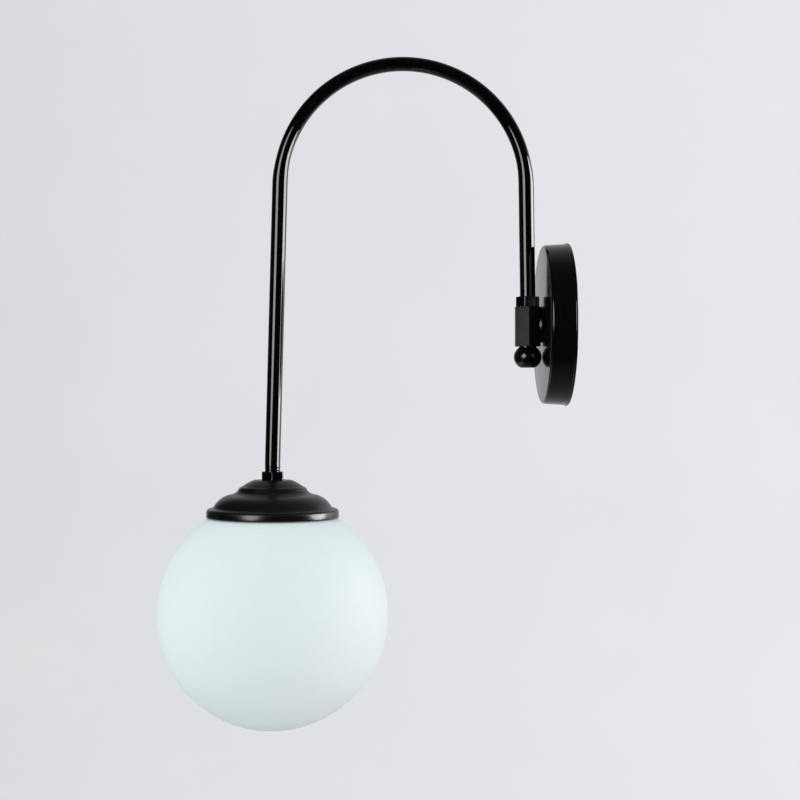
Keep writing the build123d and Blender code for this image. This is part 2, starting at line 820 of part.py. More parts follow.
bulb_insulator_top_z = spring_z - face_gap - bulb_tip_height
bulb_cap_top_z = bulb_insulator_top_z - bulb_insulator_height
collar_top_z = holder_bottom_z + bulb_collar_recess
collar_bottom_z = collar_top_z - bulb_collar_length
bulb_crest_r = shell_bore / 2 - bulb_cap_gap
bulb_root_r = bulb_crest_r - bulb_thread_depth
bulb_r = bulb_d / 2
bulb_neck_r = bulb_neck_d / 2
bulb_centre_z = collar_bottom_z - sqrt(bulb_r**2 - bulb_neck_r**2)

with BuildPart() as bulb_tip:
    with BuildSketch(level(globe_out, bulb_insulator_top_z)):
        Circle(bulb_tip_d / 2)
    extrude(amount=bulb_tip_height, taper=bulb_tip_taper)
save(bulb_tip.part, "bulb_tip")

with BuildPart() as bulb_insulator:
    with BuildSketch(level(globe_out, bulb_cap_top_z)):
        Circle(bulb_root_r)
    extrude(amount=bulb_insulator_height, taper=bulb_insulator_taper)
save(bulb_insulator.part, "bulb_insulator")

with BuildPart() as bulb_cap:
    with BuildSketch(globe_plane):
        with BuildLine():
            for turn in range(bulb_thread_turns):
                start_z = bulb_cap_top_z - turn * bulb_thread_pitch
                end_z = start_z - bulb_thread_pitch
                crest_z = (start_z + end_z) / 2
                ThreePointArc((bulb_root_r, start_z), (bulb_crest_r, crest_z), (bulb_root_r, end_z))
            Polyline(
                (bulb_root_r, bulb_cap_top_z - bulb_thread_turns * bulb_thread_pitch),
                (bulb_root_r, collar_top_z),
                (bulb_root_r - bulb_cap_wall, collar_top_z),
                (bulb_root_r - bulb_cap_wall, bulb_cap_top_z),
                (bulb_root_r, bulb_cap_top_z),
            )
        make_face()
    revolve(axis=globe_axis)
save(bulb_cap.part, "bulb_cap")

with BuildPart() as bulb_collar:
    with BuildSketch(level(globe_out, collar_bottom_z)):
        Circle(bulb_neck_r)
    with BuildSketch(level(globe_out, collar_top_z)):
        Circle(bulb_root_r)
    loft(ruled=True)
save(bulb_collar.part, "bulb_collar")

with BuildPart() as bulb_glass:
    bulb_inner_r = bulb_r - bulb_glass_wall
    bulb_mouth_r = sqrt(bulb_inner_r**2 - (collar_bottom_z - bulb_centre_z) ** 2)
    with BuildSketch(globe_plane):
        with BuildLine():
            ThreePointArc(
                (0, bulb_centre_z - bulb_r), (bulb_r, bulb_centre_z), (bulb_neck_r, collar_bottom_z)
            )
            Line((bulb_neck_r, collar_bottom_z), (bulb_mouth_r, collar_bottom_z))
            ThreePointArc(
                (bulb_mouth_r, collar_bottom_z),
                (bulb_inner_r, bulb_centre_z),
                (0, bulb_centre_z - bulb_inner_r),
            )
            Line((0, bulb_centre_z - bulb_inner_r), (0, bulb_centre_z - bulb_r))
        make_face()
    revolve(axis=globe_axis)
save(bulb_glass.part, "bulb_glass")

# ---------------------------------------------------------------- terminal block and screws

clamp_spacing = terminal_block_width / 2
block_screw_out = pole_out + wire_d / 2 + face_gap
clamp_head_out = terminal_block_face_out - terminal_screw_sunk


def bore_poles(radius):
    """Cut the poles' bores, which run down through the block, in the piece being built."""
    with BuildSketch(Plane.XY.offset(terminal_block_top_z)) as holes:
        with Locations(*[(pole_x, -pole_out) for pole_x in pole_xs]):
            Circle(radius)
    extrude(holes.sketch, amount=-terminal_block_width, mode=Mode.SUBTRACT)


def bore_clamps():
    """Cut the clamp screws' holes, from the poles out to the front, in the piece being built."""
    with BuildSketch(Plane.XZ.offset(pole_out)) as holes:
        with Locations((0, terminal_block_middle_z)):
            with GridLocations(pole_pitch, clamp_spacing, 3, 2):
                Circle(terminal_screw_d / 2 + thread_gap)
    extrude(holes.sketch, amount=terminal_block_thickness, mode=Mode.SUBTRACT)


def add_pan_screw(at, seat_out, screw_d):
    """Add a slotted pan-head screw that points at the wall, in the piece being built."""
    head_height = screw_d * pan_head_height
    head_r = screw_d * pan_head_width / 2
    with BuildSketch(Plane.XZ.offset(screw_tip_gap)) as shank:
        with Locations(at):
            Circle(screw_d / 2)
    extrude(shank.sketch, amount=seat_out - screw_tip_gap)
    with BuildSketch(Plane.XZ.offset(seat_out)) as head:
        with Locations(at):
            Circle(head_r)
    extrude(head.sketch, amount=head_height)
    head_top = Plane((at[0], -seat_out - head_height, at[1]), x_dir=(1, 0, 0), z_dir=(0, -1, 0))
    cut_slot(head_top, 2 * head_r, screw_slot)


with BuildPart() as terminal_block:
    block_length = 2 * (pole_pitch + terminal_block_end)
    with BuildSketch(Plane.XZ.offset(bracket_sheet)):
        with Locations((0, terminal_block_middle_z)):
            RectangleRounded(block_length, terminal_block_width, terminal_block_corner)
        with Locations(fixing_screw_at):
            Circle(fixing_screw_d / 2 + thread_gap, mode=Mode.SUBTRACT)
    extrude(amount=terminal_block_thickness)
    bore_poles(sleeve_r)
    bore_clamps()
save(terminal_block.part, "terminal_block")

with BuildPart() as terminal_sleeves:
    with BuildSketch(Plane.XY.offset(terminal_block_top_z)):
        with Locations(*[(pole_x, -pole_out) for pole_x in pole_xs]):
            Circle(sleeve_r)
    extrude(amount=-terminal_block_width)
    bore_poles(pole_bore / 2)
    bore_clamps()
save(terminal_sleeves.part, "terminal_sleeves")

with BuildPart() as terminal_screws:
    with BuildSketch(Plane.XZ.offset(block_screw_out)):
        with Locations((0, terminal_block_middle_z)):
            with GridLocations(pole_pitch, clamp_spacing, 3, 2):
                Circle(terminal_screw_d / 2)
    extrude(amount=clamp_head_out - block_screw_out)
    with BuildSketch(Plane.XZ.offset(clamp_head_out)):
        with Locations((0, terminal_block_middle_z)):
            with GridLocations(pole_pitch, clamp_spacing, 3, 2):
                Rectangle(2 * terminal_screw_d, screw_slot)
    extrude(amount=-screw_slot, mode=Mode.SUBTRACT)
save(terminal_screws.part, "terminal_screws")

with BuildPart() as block_screw:
    add_pan_screw(fixing_screw_at, terminal_block_face_out, fixing_screw_d)
save(block_screw.part, "block_screw")

tag_face_out = bracket_sheet + earth_tag_sheet
barrel_bore_r = wire_d / 2 + thread_gap
barrel_r = barrel_bore_r + earth_barrel_wall
barrel_y = -tag_face_out - barrel_r + earth_barrel_sunk
barrel_top_z = earth_screw_z - earth_tag_d / 2
barrel_bottom_z = barrel_top_z - earth_barrel_length

with BuildPart() as earth_tag:
    with BuildSketch(Plane.XZ.offset(bracket_sheet)):
        with Locations(earth_screw_at):
            Circle(earth_tag_d / 2)
        with Locations((-pole_pitch, (earth_screw_z + barrel_bottom_z) / 2)):
            Rectangle(2 * barrel_r, earth_screw_z - barrel_bottom_z)
        with Locations(earth_screw_at):
            Circle(earth_screw_d / 2 + thread_gap, mode=Mode.SUBTRACT)
    extrude(amount=earth_tag_sheet)
    with BuildSketch(Plane.XY.offset(barrel_bottom_z)):
        with Locations((-pole_pitch, barrel_y)):
            Circle(barrel_r)
    extrude(amount=earth_barrel_length)
    with BuildSketch(Plane.XY.offset(barrel_bottom_z)):
        with Locations((-pole_pitch, barrel_y)):
            Circle(barrel_bore_r)
    extrude(amount=earth_barrel_length, mode=Mode.SUBTRACT)
save(earth_tag.part, "earth_tag")

with BuildPart() as earth_screw:
    add_pan_screw(earth_screw_at, tag_face_out, earth_screw_d)
save(earth_screw.part, "earth_screw")

# ---------------------------------------------------------------- wires

wire_end_z = terminal_block_top_z - wire_in_block
wire_leave_z = terminal_block_top_z + wire_above_block

with BuildPart() as earth_wire:
    add_wire(
        (
            (-pole_pitch, -pole_out, wire_end_z),
            (-pole_pitch, -pole_out, 0),
            (-pole_pitch, barrel_y, barrel_top_z - earth_wire_straight),
            (-pole_pitch, barrel_y, barrel_top_z - earth_wire_end),
        ),
        earth_wire_bends,
    )
save(earth_wire.part, "earth_wire")

for wire_name, pole_x, wire_x in (
    ("live_wire_wall", pole_pitch, wire_offset),
    ("neutral_wire_wall", 0, -wire_offset),
):
    with BuildPart() as wall_wire:
        add_wire(
            (
                (pole_x, -pole_out, wire_end_z),
                (pole_x, -pole_out, wire_leave_z),
                (wire_x, -wire_turn_out, 0),
                (wire_x, -swivel_out, 0),
                (wire_x, -swivel_out, wire_split_z),
            ),
            wall_wire_bends,
        )
    save(wall_wire.part, wire_name)

tail_top_z = cover_top_z - tail_drop

for wire_name, side in (("live_wire_arm", 1), ("neutral_wire_arm", -1)):
    wire_x = side * wire_offset
    clamp_x = side * contact_offset
    rear_half = leg_route(wire_x, wire_split_z, straight_from_z, -swivel_out, rear_lean, rear_run)
    front_half = leg_route(wire_x, tail_top_z, straight_to_z, globe_y, -front_lean, front_run)
    with BuildPart() as arm_wire:
        with BuildSketch(level(swivel_out, wire_split_z)):
            with Locations((wire_x, 0)):
                Circle(wire_d / 2)
        sweep(path=rear_half)
        with BuildSketch(bend_plane(0)):
            with Locations((wire_x, 0)):
                Circle(wire_d / 2)
        revolve(axis=bend_axis, revolution_arc=bend_turn)
        with BuildSketch(level(globe_out, tail_top_z)):
            with Locations((wire_x, 0)):
                Circle(wire_d / 2)
        sweep(path=front_half)
        add_wire(
            (
                (wire_x, globe_y, tail_top_z),
                (wire_x, globe_y, tail_top_z - tail_straight),
                (clamp_x, globe_y, terminal_top_z + tail_end_straight),
                (clamp_x, globe_y, terminal_top_z),
            ),
            tail_bends,
        )
    save(arm_wire.part, wire_name)

print("Bend radii of the wires, mm")
print("  live and neutral at the wall", wall_wire_bends)
print("  earth", earth_wire_bends)
print("  live and neutral in the arm", lean_radius, bend_radius, lean_radius, tail_bends)
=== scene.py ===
import json
from math import asin, atan, cos, degrees, floor, pi, radians, sin, sqrt, tan, tau

import bmesh
import bpy
from mathutils import Matrix, Vector

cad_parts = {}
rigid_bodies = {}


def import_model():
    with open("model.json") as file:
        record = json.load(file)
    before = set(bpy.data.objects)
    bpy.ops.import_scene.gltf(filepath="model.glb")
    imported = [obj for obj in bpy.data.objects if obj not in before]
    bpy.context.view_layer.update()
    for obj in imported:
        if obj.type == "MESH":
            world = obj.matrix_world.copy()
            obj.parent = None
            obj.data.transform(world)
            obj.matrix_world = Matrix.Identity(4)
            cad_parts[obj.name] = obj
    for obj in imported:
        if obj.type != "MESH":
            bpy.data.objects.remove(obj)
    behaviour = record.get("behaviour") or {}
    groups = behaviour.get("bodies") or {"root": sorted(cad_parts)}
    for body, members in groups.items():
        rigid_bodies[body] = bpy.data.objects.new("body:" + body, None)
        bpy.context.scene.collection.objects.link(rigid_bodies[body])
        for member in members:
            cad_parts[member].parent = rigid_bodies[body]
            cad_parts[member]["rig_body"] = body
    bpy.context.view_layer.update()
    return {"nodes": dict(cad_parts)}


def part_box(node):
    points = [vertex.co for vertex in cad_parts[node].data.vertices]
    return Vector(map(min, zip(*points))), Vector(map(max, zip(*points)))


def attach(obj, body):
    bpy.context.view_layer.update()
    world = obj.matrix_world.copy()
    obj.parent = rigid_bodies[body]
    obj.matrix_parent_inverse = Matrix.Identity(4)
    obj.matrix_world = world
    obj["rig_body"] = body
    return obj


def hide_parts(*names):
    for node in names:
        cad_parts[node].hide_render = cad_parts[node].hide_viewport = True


bl_info = {
    "name": "Globe wall sconce",
    "version": (1, 0, 0),
    "blender": (4, 5, 0),
    "location": "3D View > Sidebar > Sconce",
    "description": "Dresses the wall sconce's frame: pieces, finishes and studio",
    "category": "Object",
}

# Metres, +Z up. The wall is the plane Y = 0 and the lamp stands out from it along -Y.
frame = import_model()
nodes = frame["nodes"]
mm = 0.001
same_place = 1e-6  # closer than this, two points are one

# Places that the frame gives
globe_low, globe_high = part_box("glass_globe")
cover_low, cover_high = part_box("shade_cover")
plate_low, plate_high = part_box("wall_plate")
block_low, block_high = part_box("swivel_block")
tube_foot_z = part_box("arm_tube")[0].z
upper_nut_top_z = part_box("upper_lock_nut")[1].z
lower_nut_top_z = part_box("lower_lock_nut")[1].z
lamp_y = (globe_low.y + globe_high.y) / 2
swivel_y = (block_low.y + block_high.y) / 2

# Places that several pieces share
nut_bore_r = 5.05 * mm
tube_end_z = 5.4 * mm  # the tube's end in the swivel block
upright = (0, 0, 1)


def length(name, what, default):
    """A size that a user may change, in metres."""
    return bpy.props.FloatProperty(
        name=name, description=what, default=default, min=0.0, precision=5, unit="LENGTH"
    )


def turn(name, what, angle):
    """An angle that a user may change, given in degrees."""
    return bpy.props.FloatProperty(
        name=name, description=what, default=radians(angle), subtype="ANGLE", unit="ROTATION"
    )


def colour(name, what, default):
    """A colour that a user may change, linear."""
    return bpy.props.FloatVectorProperty(
        name=name, description=what, default=default, size=3, min=0.0, max=1.0, subtype="COLOR"
    )


def share(name, what, default, most=1.0):
    """A plain number from 0 up that a user may change."""
    return bpy.props.FloatProperty(name=name, description=what, default=default, min=0.0, max=most)


class SconceTube(bpy.types.PropertyGroup):
    """The bent tube that carries the lamp."""

    radius: length("Radius", "Outside radius of the straight tube", 5.0 * mm)
    wall: length("Wall", "Thickness of the tube's wall", 1.2 * mm)
    bend_radius: length("Bend radius", "Radius of the tube's line round the bend", 80.0 * mm)
    bend_height: length("Bend height", "Height of the bend's centre", 89.4 * mm)
    bent_thickness: length("Bent thickness", "Width across the bend, in its plane", 9.2 * mm)
    bent_width: length("Bent width", "Width across the bend, out of its plane", 10.5 * mm)
    run_in: turn("Run-in", "How far round the bend the flattening comes in", 14.0)
    rear_lean: turn("Rear lean", "How far the rear leg leans towards the bend", 0.8)
    front_lean: turn("Front lean", "How far the front leg leans towards the bend", 1.5)
    lean_radius: length("Lean radius", "Radius of the slight bends into the leans", 60.0 * mm)
    thread_length: length("Bare thread", "Thread that shows above the lower nut", 3.7 * mm)
    thread_pitch: length("Thread pitch", "Rise of the thread in a turn", 1.85 * mm)
    thread_depth: length("Thread depth", "Depth of the thread's groove", 0.3 * mm)


class SconceCover(bpy.types.PropertyGroup):
    """The spun cover over the globe's neck."""

    sheet: length("Sheet", "Thickness of the spun sheet", 1.0 * mm)
    corner: length("Corner", "How far the spun corners are rounded", 1.1 * mm)
    bead_radius: length("Bead radius", "Radius of the bead along the rim", 0.95 * mm)


class SconceNuts(bpy.types.PropertyGroup):
    """The hexagon nuts and the swivel block."""

    nut_flats: length("Nut", "Width of the nuts across their flats", 14.0 * mm)
    nut_cut: length("Nut corner cut", "How much of the nuts' corners is turned off", 0.9 * mm)
    upper_turn: turn("Upper nut turn", "How far the upper nut is turned", -20.0)
    lower_turn: turn("Lower nut turn", "How far the lower nut is turned", 2.0)
    block_flats: length("Block", "Width of the block across its flats", block_high.y - block_low.y)
    block_cut: length("Block corner cut", "How much of the block's corners is turned off", 1.0 * mm)


class SconcePlate(bpy.types.PropertyGroup):
    """The spun wall plate."""

    sheet: length("Sheet", "Thickness of the plate's sheet", 1.2 * mm)
    taper: length("Taper", "How much smaller the face's radius is than the back's", 1.45 * mm)
    edge: length("Front edge", "Radius of the rounded front edge", 1.6 * mm)
    roll: length("Roll", "Radius of the rolled back edge", 0.9 * mm)
    roll_step: length("Roll step", "How far the rolled edge stands out", 0.5 * mm)
    screw_hole: length("Screw hole", "Diameter of the holes in the side", 4.2 * mm)
    screw_hole_out: length("Screw hole place", "How far the holes are from the wall", 5.0 * mm)


class SconceGlobe(bpy.types.PropertyGroup):
    """The closed glass globe."""

    radius: length("Radius", "Outside radius of the globe", (globe_high.x - globe_low.x) / 2)
    wall: length("Wall", "Thickness of the glass", 2.5 * mm)
    neck_radius: length("Neck radius", "Outside radius of the globe's neck", 30.0 * mm)
    neck_blend: length("Neck blend", "How far the glass flows from the globe to its neck", 2.2 * mm)
    lip: length("Lip", "Rounding of the neck's fire-polished edge", 1.1 * mm)


class SconceHolder(bpy.types.PropertyGroup):
    """The lampholder's fluted sleeve."""

    bore: length("Bore", "Radius of the hole that takes the screw shell", 14.15 * mm)
    tongue_out: length("Tongue outside", "Outside radius of the tongue in the cap", 17.45 * mm)
    tongue_in: length("Tongue inside", "Inside radius of the tongue", 15.5 * mm)
    tongue_rise: length("Tongue height", "How far the tongue stands into the cap", 4.05 * mm)
    plain_band: length("Plain band", "Plain length at each end of the flutes", 4.0 * mm)
    flute_depth: length("Flute depth", "Depth of a grip flute", 0.8 * mm)
    flutes: bpy.props.IntProperty(
        name="Flutes", description="Number of grip flutes round the sleeve", default=24, min=3
    )


class SconceColours(bpy.types.PropertyGroup):
    """The colours of the lamp's finishes."""

    black: colour("Black", "Gloss and satin black lacquer", (0.0012, 0.0012, 0.0013))
    glass: colour("Opal glass", "Satin opal glass of the globe", (0.71, 0.82, 0.825))
    zinc: colour("Zinc", "Bright zinc plating", (0.52, 0.53, 0.53))
    brass: colour("Brass", "Brass contacts and clamps", (0.72, 0.50, 0.20))
    steatite: colour("Steatite", "Fired insert of the lampholder", (0.80, 0.76, 0.67))
    white: colour("White plastic", "Terminal block", (0.78, 0.77, 0.73))
    brown: colour("Brown sheath", "Live wire", (0.105, 0.035, 0.013))
    blue: colour("Blue sheath", "Neutral wire", (0.012, 0.075, 0.31))
    green: colour("Green sheath", "Earth wire", (0.035, 0.27, 0.05))


class SconceStudio(bpy.types.PropertyGroup):
    """The light, the backdrop and the camera."""

    # The two backdrop colours are one grey at two brightnesses: painted light, darker on the lamp's
    # side and lighter on the wall's side
    backdrop_left: colour("Backdrop left", "Backdrop on the lamp's side", (0.712, 0.722, 0.743))
    backdrop_right: colour("Backdrop right", "Backdrop on the wall's side", (0.825, 0.835, 0.862))
    fill: share("Fill", "Brightness of the room all round", 1.07, 4.0)
    front_lamp: share("Front lamp", "Brightness of the soft panel at the front left", 7.0, 40.0)
    side_lamp: share("Side lamp", "Brightness of the soft panel on the wall's side", 14.0, 40.0)
    side_glow: share("Side glow", "Brightness of the dim panel beside it", 0.9, 40.0)
    low_key: share("Low key", "Soft light on surfaces from below in front", 1.46, 40.0)
    wall_key: share("Wall key", "Soft light on surfaces from below the wall", 1.3, 40.0)
    side_key: share("Side key", "Soft light on surfaces from the wall's side", 0.3, 40.0)
    camera_x: length("Camera distance", "From the lamp's middle plane to the camera", 1.017)
    lens: share("Lens", "Focal length in millimetres", 70.43, 500.0)


# ---------------------------------------------------------------- making pieces


def linked(name, mesh, body, slot, *replaced):
    """Puts a finished piece in the scene, on its body, in place of its CAD nodes."""
    obj = bpy.data.objects.new(name, mesh)
    bpy.context.scene.collection.objects.link(obj)
    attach(obj, body)
    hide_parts(*replaced)


def meshed(bm, name, material, sharp):
    """The bmesh as a mesh, smooth but for edges over the given angle in degrees."""
    mesh = bpy.data.meshes.new(name)
    bm.to_mesh(mesh)
    bm.free()
    mesh.shade_smooth()
    mesh.set_sharp_from_angle(angle=radians(sharp))
    mesh.materials.append(bpy.data.materials[material])
    return mesh


def new_verts(geometry):
    """The vertices among what a bmesh operator made."""
    return [v for v in geometry if isinstance(v, bmesh.types.BMVert)]


def eased(part):
    """A share, kept from 0 to 1, that starts and ends softly."""
    part = min(1.0, max(0.0, part))
    return part * part * (3 - 2 * part)


def round_axis(vert, centre_y):
    """A vertex's way out from an upright axis, and its angle round that axis."""
    out = Vector((vert.co.x, vert.co.y - centre_y))
    return out, out.angle_signed(Vector((1, 0)))


def start_line(bm, r, z, y):
    """The first point of a profile in the upright plane through an upright axis."""
    return bm.verts.new((r, y, z))


def line_to(bm, vert, r, z):
    """Carries a profile straight on to a radius and a height."""
    new = bmesh.ops.extrude_vert_indiv(bm, verts=[vert])["verts"][0]
    new.co = (r, vert.co.y, z)
    return new


def swing_to(bm, vert, centre_r, centre_z, angle, steps):
    """Carries a profile on round a centre, clockwise in (radius, height) for positive degrees."""
    made = bmesh.ops.spin(
        bm, geom=[vert], cent=(centre_r, vert.co.y, centre_z), axis=(0, 1, 0),
        angle=radians(angle), steps=steps, use_duplicate=False,
    )
    return new_verts(made["geom_last"])[0]


def arc_to(bm, vert, r, z, bulge, steps):
    """Carries a profile on along an arc that stands out to its left by a share of its chord."""
    across, up = r - vert.co.x, z - vert.co.z
    swing = 4 * atan(2 * bulge)
    back = 1 / (2 * tan(swing / 2))
    centre_r = (vert.co.x + r) / 2 + up * back
    centre_z = (vert.co.z + z) / 2 - across * back
    new = swing_to(bm, vert, centre_r, centre_z, degrees(swing), steps)
    if (new.co - Vector((r, vert.co.y, z))).length > same_place:
        raise ValueError("an arc of a profile misses its end")
    return new


def round_corners(bm, verts, offset, segments):
    """Rounds the given corners of a profile."""
    bmesh.ops.bevel(
        bm, geom=verts, offset=offset, offset_type="OFFSET", affect="VERTICES",
        segments=segments, profile=0.5, material=-1,
    )


def turned(bm, centre, axis, steps):
    """Spins the whole profile once round an axis, and closes its seam and poles."""
    bmesh.ops.spin(
        bm, geom=bm.verts[:] + bm.edges[:], cent=centre, axis=axis, angle=tau, steps=steps,
        use_merge=True, use_duplicate=False,
    )
    bmesh.ops.remove_doubles(bm, verts=bm.verts[:], dist=same_place)
    bmesh.ops.dissolve_degenerate(bm, dist=same_place / 10, edges=bm.edges[:])
    bmesh.ops.recalc_face_normals(bm, faces=bm.faces[:])


def station(y, z, heading, half_thick, half_width):
    """A place on the tube's line, with the tube's half sizes there, as a matrix."""
    return (
        Matrix.Translation((0, y, z))
        @ Matrix.Rotation(heading, 4, "X")
        @ Matrix.Diagonal((half_width, half_thick, 1, 1))
    )


def tube_stations(sizes, inset):
    """Places along the tube's line, from the end in the swivel block to the end in the holder.
    Heading is the turn from straight up, towards -Y."""
    lean_steps, bend_steps, thread_steps = 6, 132, 60
    round_r = sizes.radius - inset
    half_thick = sizes.bent_thickness / 2 - inset
    half_width = sizes.bent_width / 2 - inset
    rear, front = sizes.rear_lean, sizes.front_lean
    lean_r, bend_r = sizes.lean_radius, sizes.bend_radius
    rear_z = upper_nut_top_z
    front_z = lower_nut_top_z + sizes.thread_length + sizes.thread_pitch
    rear_run = (sizes.bend_height + (bend_r - lean_r) * sin(rear) - rear_z) / cos(rear)
    bend_y = swivel_y - lean_r * (1 - cos(rear)) - rear_run * sin(rear) - bend_r * cos(rear)
    made = [station(swivel_y, tube_end_z, 0, round_r, round_r)]
    for step in range(lean_steps + 1):
        angle = rear * step / lean_steps
        y, z = swivel_y - lean_r * (1 - cos(angle)), rear_z + lean_r * sin(angle)
        made.append(station(y, z, angle, round_r, round_r))
    bend = pi - rear - front
    for step in range(bend_steps + 1):
        turned_by = bend * step / bend_steps
        part = eased(min(turned_by, bend - turned_by) / sizes.run_in)
        angle = rear + turned_by
        y, z = bend_y + bend_r * cos(angle), sizes.bend_height + bend_r * sin(angle)
        thick = round_r + (half_thick - round_r) * part
        made.append(station(y, z, angle, thick, round_r + (half_width - round_r) * part))
    for step in range(lean_steps + 1):
        angle = front * (1 - step / lean_steps)
        y, z = lamp_y + lean_r * (1 - cos(angle)), front_z + lean_r * sin(angle)
        made.append(station(y, z, pi - angle, round_r, round_r))
    fine_run = sizes.thread_length + 2 * sizes.thread_pitch
    for step in range(1, thread_steps + 1):
        z = front_z - fine_run * step / thread_steps
        made.append(station(lamp_y, z, pi, round_r, round_r))
    made.append(station(lamp_y, tube_foot_z, pi, round_r, round_r))
    return made


def swept(bm, stations, sides):
    """Carries a ring along stations, and gives the edges of its first and last ring."""
    ring = bmesh.ops.create_circle(bm, segments=sides, radius=1, matrix=stations[0])
    edges = list({e for v in ring["verts"] for e in v.link_edges})
    first = edges
    for before, after in zip(stations, stations[1:]):
        made = bmesh.ops.extrude_edge_only(bm, edges=edges)["geom"]
        edges = [e for e in made if isinstance(e, bmesh.types.BMEdge)]
        bmesh.ops.transform(bm, matrix=after @ before.inverted(), verts=new_verts(made))
    return first, edges


class SCONCE_OT_arm_tube(bpy.types.Operator):
    """Sweep the bent tube along its line, flatten its bend and cut its thread"""

    bl_idname = "sconce.arm_tube"
    bl_label = "Arm tube"

    def execute(self, context):
        sizes = context.scene.sconce_tube
        sides = 56
        groove_steepness = 2.2  # over 1, the groove is narrower than the crest
        run_out_turns = 0.6  # how much of a turn the thread takes to fade at its top
        bm = bmesh.new()
        outer_first, outer_last = swept(bm, tube_stations(sizes, 0), sides)
        outer = set(bm.verts)
        inner_first, inner_last = swept(bm, tube_stations(sizes, sizes.wall), sides)
        bmesh.ops.bridge_loops(bm, edges=outer_first + inner_first)
        bmesh.ops.bridge_loops(bm, edges=outer_last + inner_last)
        low = lower_nut_top_z - sizes.thread_pitch
        high = lower_nut_top_z + sizes.thread_length
        for v in outer:
            if low <= v.co.z <= high and abs(v.co.y - lamp_y) < 2 * sizes.radius:
                out, angle = round_axis(v, lamp_y)
                phase = ((v.co.z - low) / sizes.thread_pitch + angle / tau) % 1.0
                groove = eased(1 - abs(2 * phase - 1) * groove_steepness)
                run_out = min(1.0, (high - v.co.z) / (run_out_turns * sizes.thread_pitch))
                out *= 1 - sizes.thread_depth * groove * run_out / sizes.radius
                v.co.x, v.co.y = out.x, lamp_y + out.y
        bmesh.ops.recalc_face_normals(bm, faces=bm.faces[:])
        mesh = meshed(bm, "bent_tube", "Gloss black lacquer", sharp=50)
        linked("bent_tube", mesh, "arm", "black_gloss", "arm_tube")
        return {"FINISHED"}


# The cover's outline, from its flat top down: how far out, how far down, how it bulges
cover_flat_r = 12.3 * mm
cover_outline = (
    (19.9 * mm, 4.2 * mm, 0.03),
    (22.45 * mm, 6.5 * mm, 0.12),
    (27.0 * mm, 9.4 * mm, -0.095),
    (38.15 * mm, 17.0 * mm, 0.112),
    (40.5 * mm, 18.5 * mm, -0.14),
    (43.0 * mm, 20.7 * mm, 0.2),
)


def walked(first, last):
    """The vertices of an open profile in their order, from its first to its last."""
    chain = [first]
    while chain[-1] is not last:
        beside = [e.other_vert(chain[-1]) for e in chain[-1].link_edges]
        chain.append([v for v in beside if v not in chain[-2:-1]][0])
    return chain


class SCONCE_OT_shade_cover(bpy.types.Operator):
    """Spin the stepped cover from its sheet, with rounded corners and a beaded rim"""

    bl_idname = "sconce.shade_cover"
    bl_label = "Cover"

    def execute(self, context):
        sizes = context.scene.sconce_cover
        arc_steps, corner_steps, bead_steps, steps_round = 12, 4, 20, 128
        bead_turn = 265  # degrees of the bead's ring that show below the rim
        top, rim_r = cover_high.z, cover_high.x
        bead_z = cover_low.z + sizes.bead_radius
        bm = bmesh.new()
        start = start_line(bm, nut_bore_r, top, lamp_y)
        reached = line_to(bm, start, cover_flat_r, top)
        corners = [reached]
        for r, drop, bulge in cover_outline:
            reached = arc_to(bm, reached, r, top - drop, bulge, arc_steps)
            corners.append(reached)
        end = line_to(bm, reached, rim_r, bead_z)
        round_corners(bm, corners, sizes.corner, corner_steps)
        chain = walked(start, end)
        inner = [start.co + Vector((0, 0, -sizes.sheet))]
        for before, here, after in zip(chain, chain[1:], chain[2:]):
            along = after.co - before.co
            inward = Vector((-along.z, 0, along.x)).normalized() * -sizes.sheet
            inner.append(here.co + inward)
        inside_end = start
        for place in inner:
            if place.z > bead_z + sizes.bead_radius:
                inside_end = line_to(bm, inside_end, place.x, place.z)
        bead_end = swing_to(bm, end, rim_r - sizes.bead_radius, bead_z, bead_turn, bead_steps)
        bm.edges.new((bead_end, inside_end))
        turned(bm, (0, lamp_y, 0), upright, steps_round)
        rim_top = top - cover_outline[-1][1]
        for face in bm.faces:
            if face.calc_center_median().z < rim_top:
                face.material_index = 1
        mesh = meshed(bm, "spun_cover", "Satin black lacquer", sharp=40)
        mesh.materials.append(bpy.data.materials["Rim black lacquer"])
        linked("spun_cover", mesh, "arm", "black_satin", "shade_cover")
        return {"FINISHED"}


class SCONCE_OT_glass_globe(bpy.types.Operator):
    """Spin the blown globe with its wall, its neck and its fire-polished lip"""

    bl_idname = "sconce.glass_globe"
    bl_label = "Glass globe"

    def execute(self, context):
        sizes = context.scene.sconce_globe
        outer_steps, inner_steps, corner_steps, steps_round = 84, 60, 6, 144
        centre_z = globe_low.z + sizes.radius
        neck_r, mouth_r = sizes.neck_radius, sizes.neck_radius - sizes.wall
        inner_r = sizes.radius - sizes.wall
        outer_turn = 180 - degrees(asin(neck_r / sizes.radius))
        inner_turn = 180 - degrees(asin(mouth_r / inner_r))
        bm = bmesh.new()
        pole = start_line(bm, 0, globe_low.z, lamp_y)
        shoulder = swing_to(bm, pole, 0, centre_z, -outer_turn, outer_steps)
        lip_out = line_to(bm, shoulder, neck_r, globe_high.z)
        lip_in = line_to(bm, lip_out, mouth_r, globe_high.z)
        inside_z = centre_z + sqrt(inner_r**2 - mouth_r**2)
        shoulder_in = line_to(bm, lip_in, mouth_r, inside_z)
        swing_to(bm, shoulder_in, 0, centre_z, inner_turn, inner_steps)
        round_corners(bm, [lip_out, lip_in], sizes.lip, corner_steps)
        round_corners(bm, [shoulder, shoulder_in], sizes.neck_blend, corner_steps)
        turned(bm, (0, lamp_y, 0), upright, steps_round)
        mesh = meshed(bm, "blown_globe", "Satin opal glass", sharp=60)
        linked("blown_globe", mesh, "globe", "opal_glass", "glass_globe")
        return {"FINISHED"}


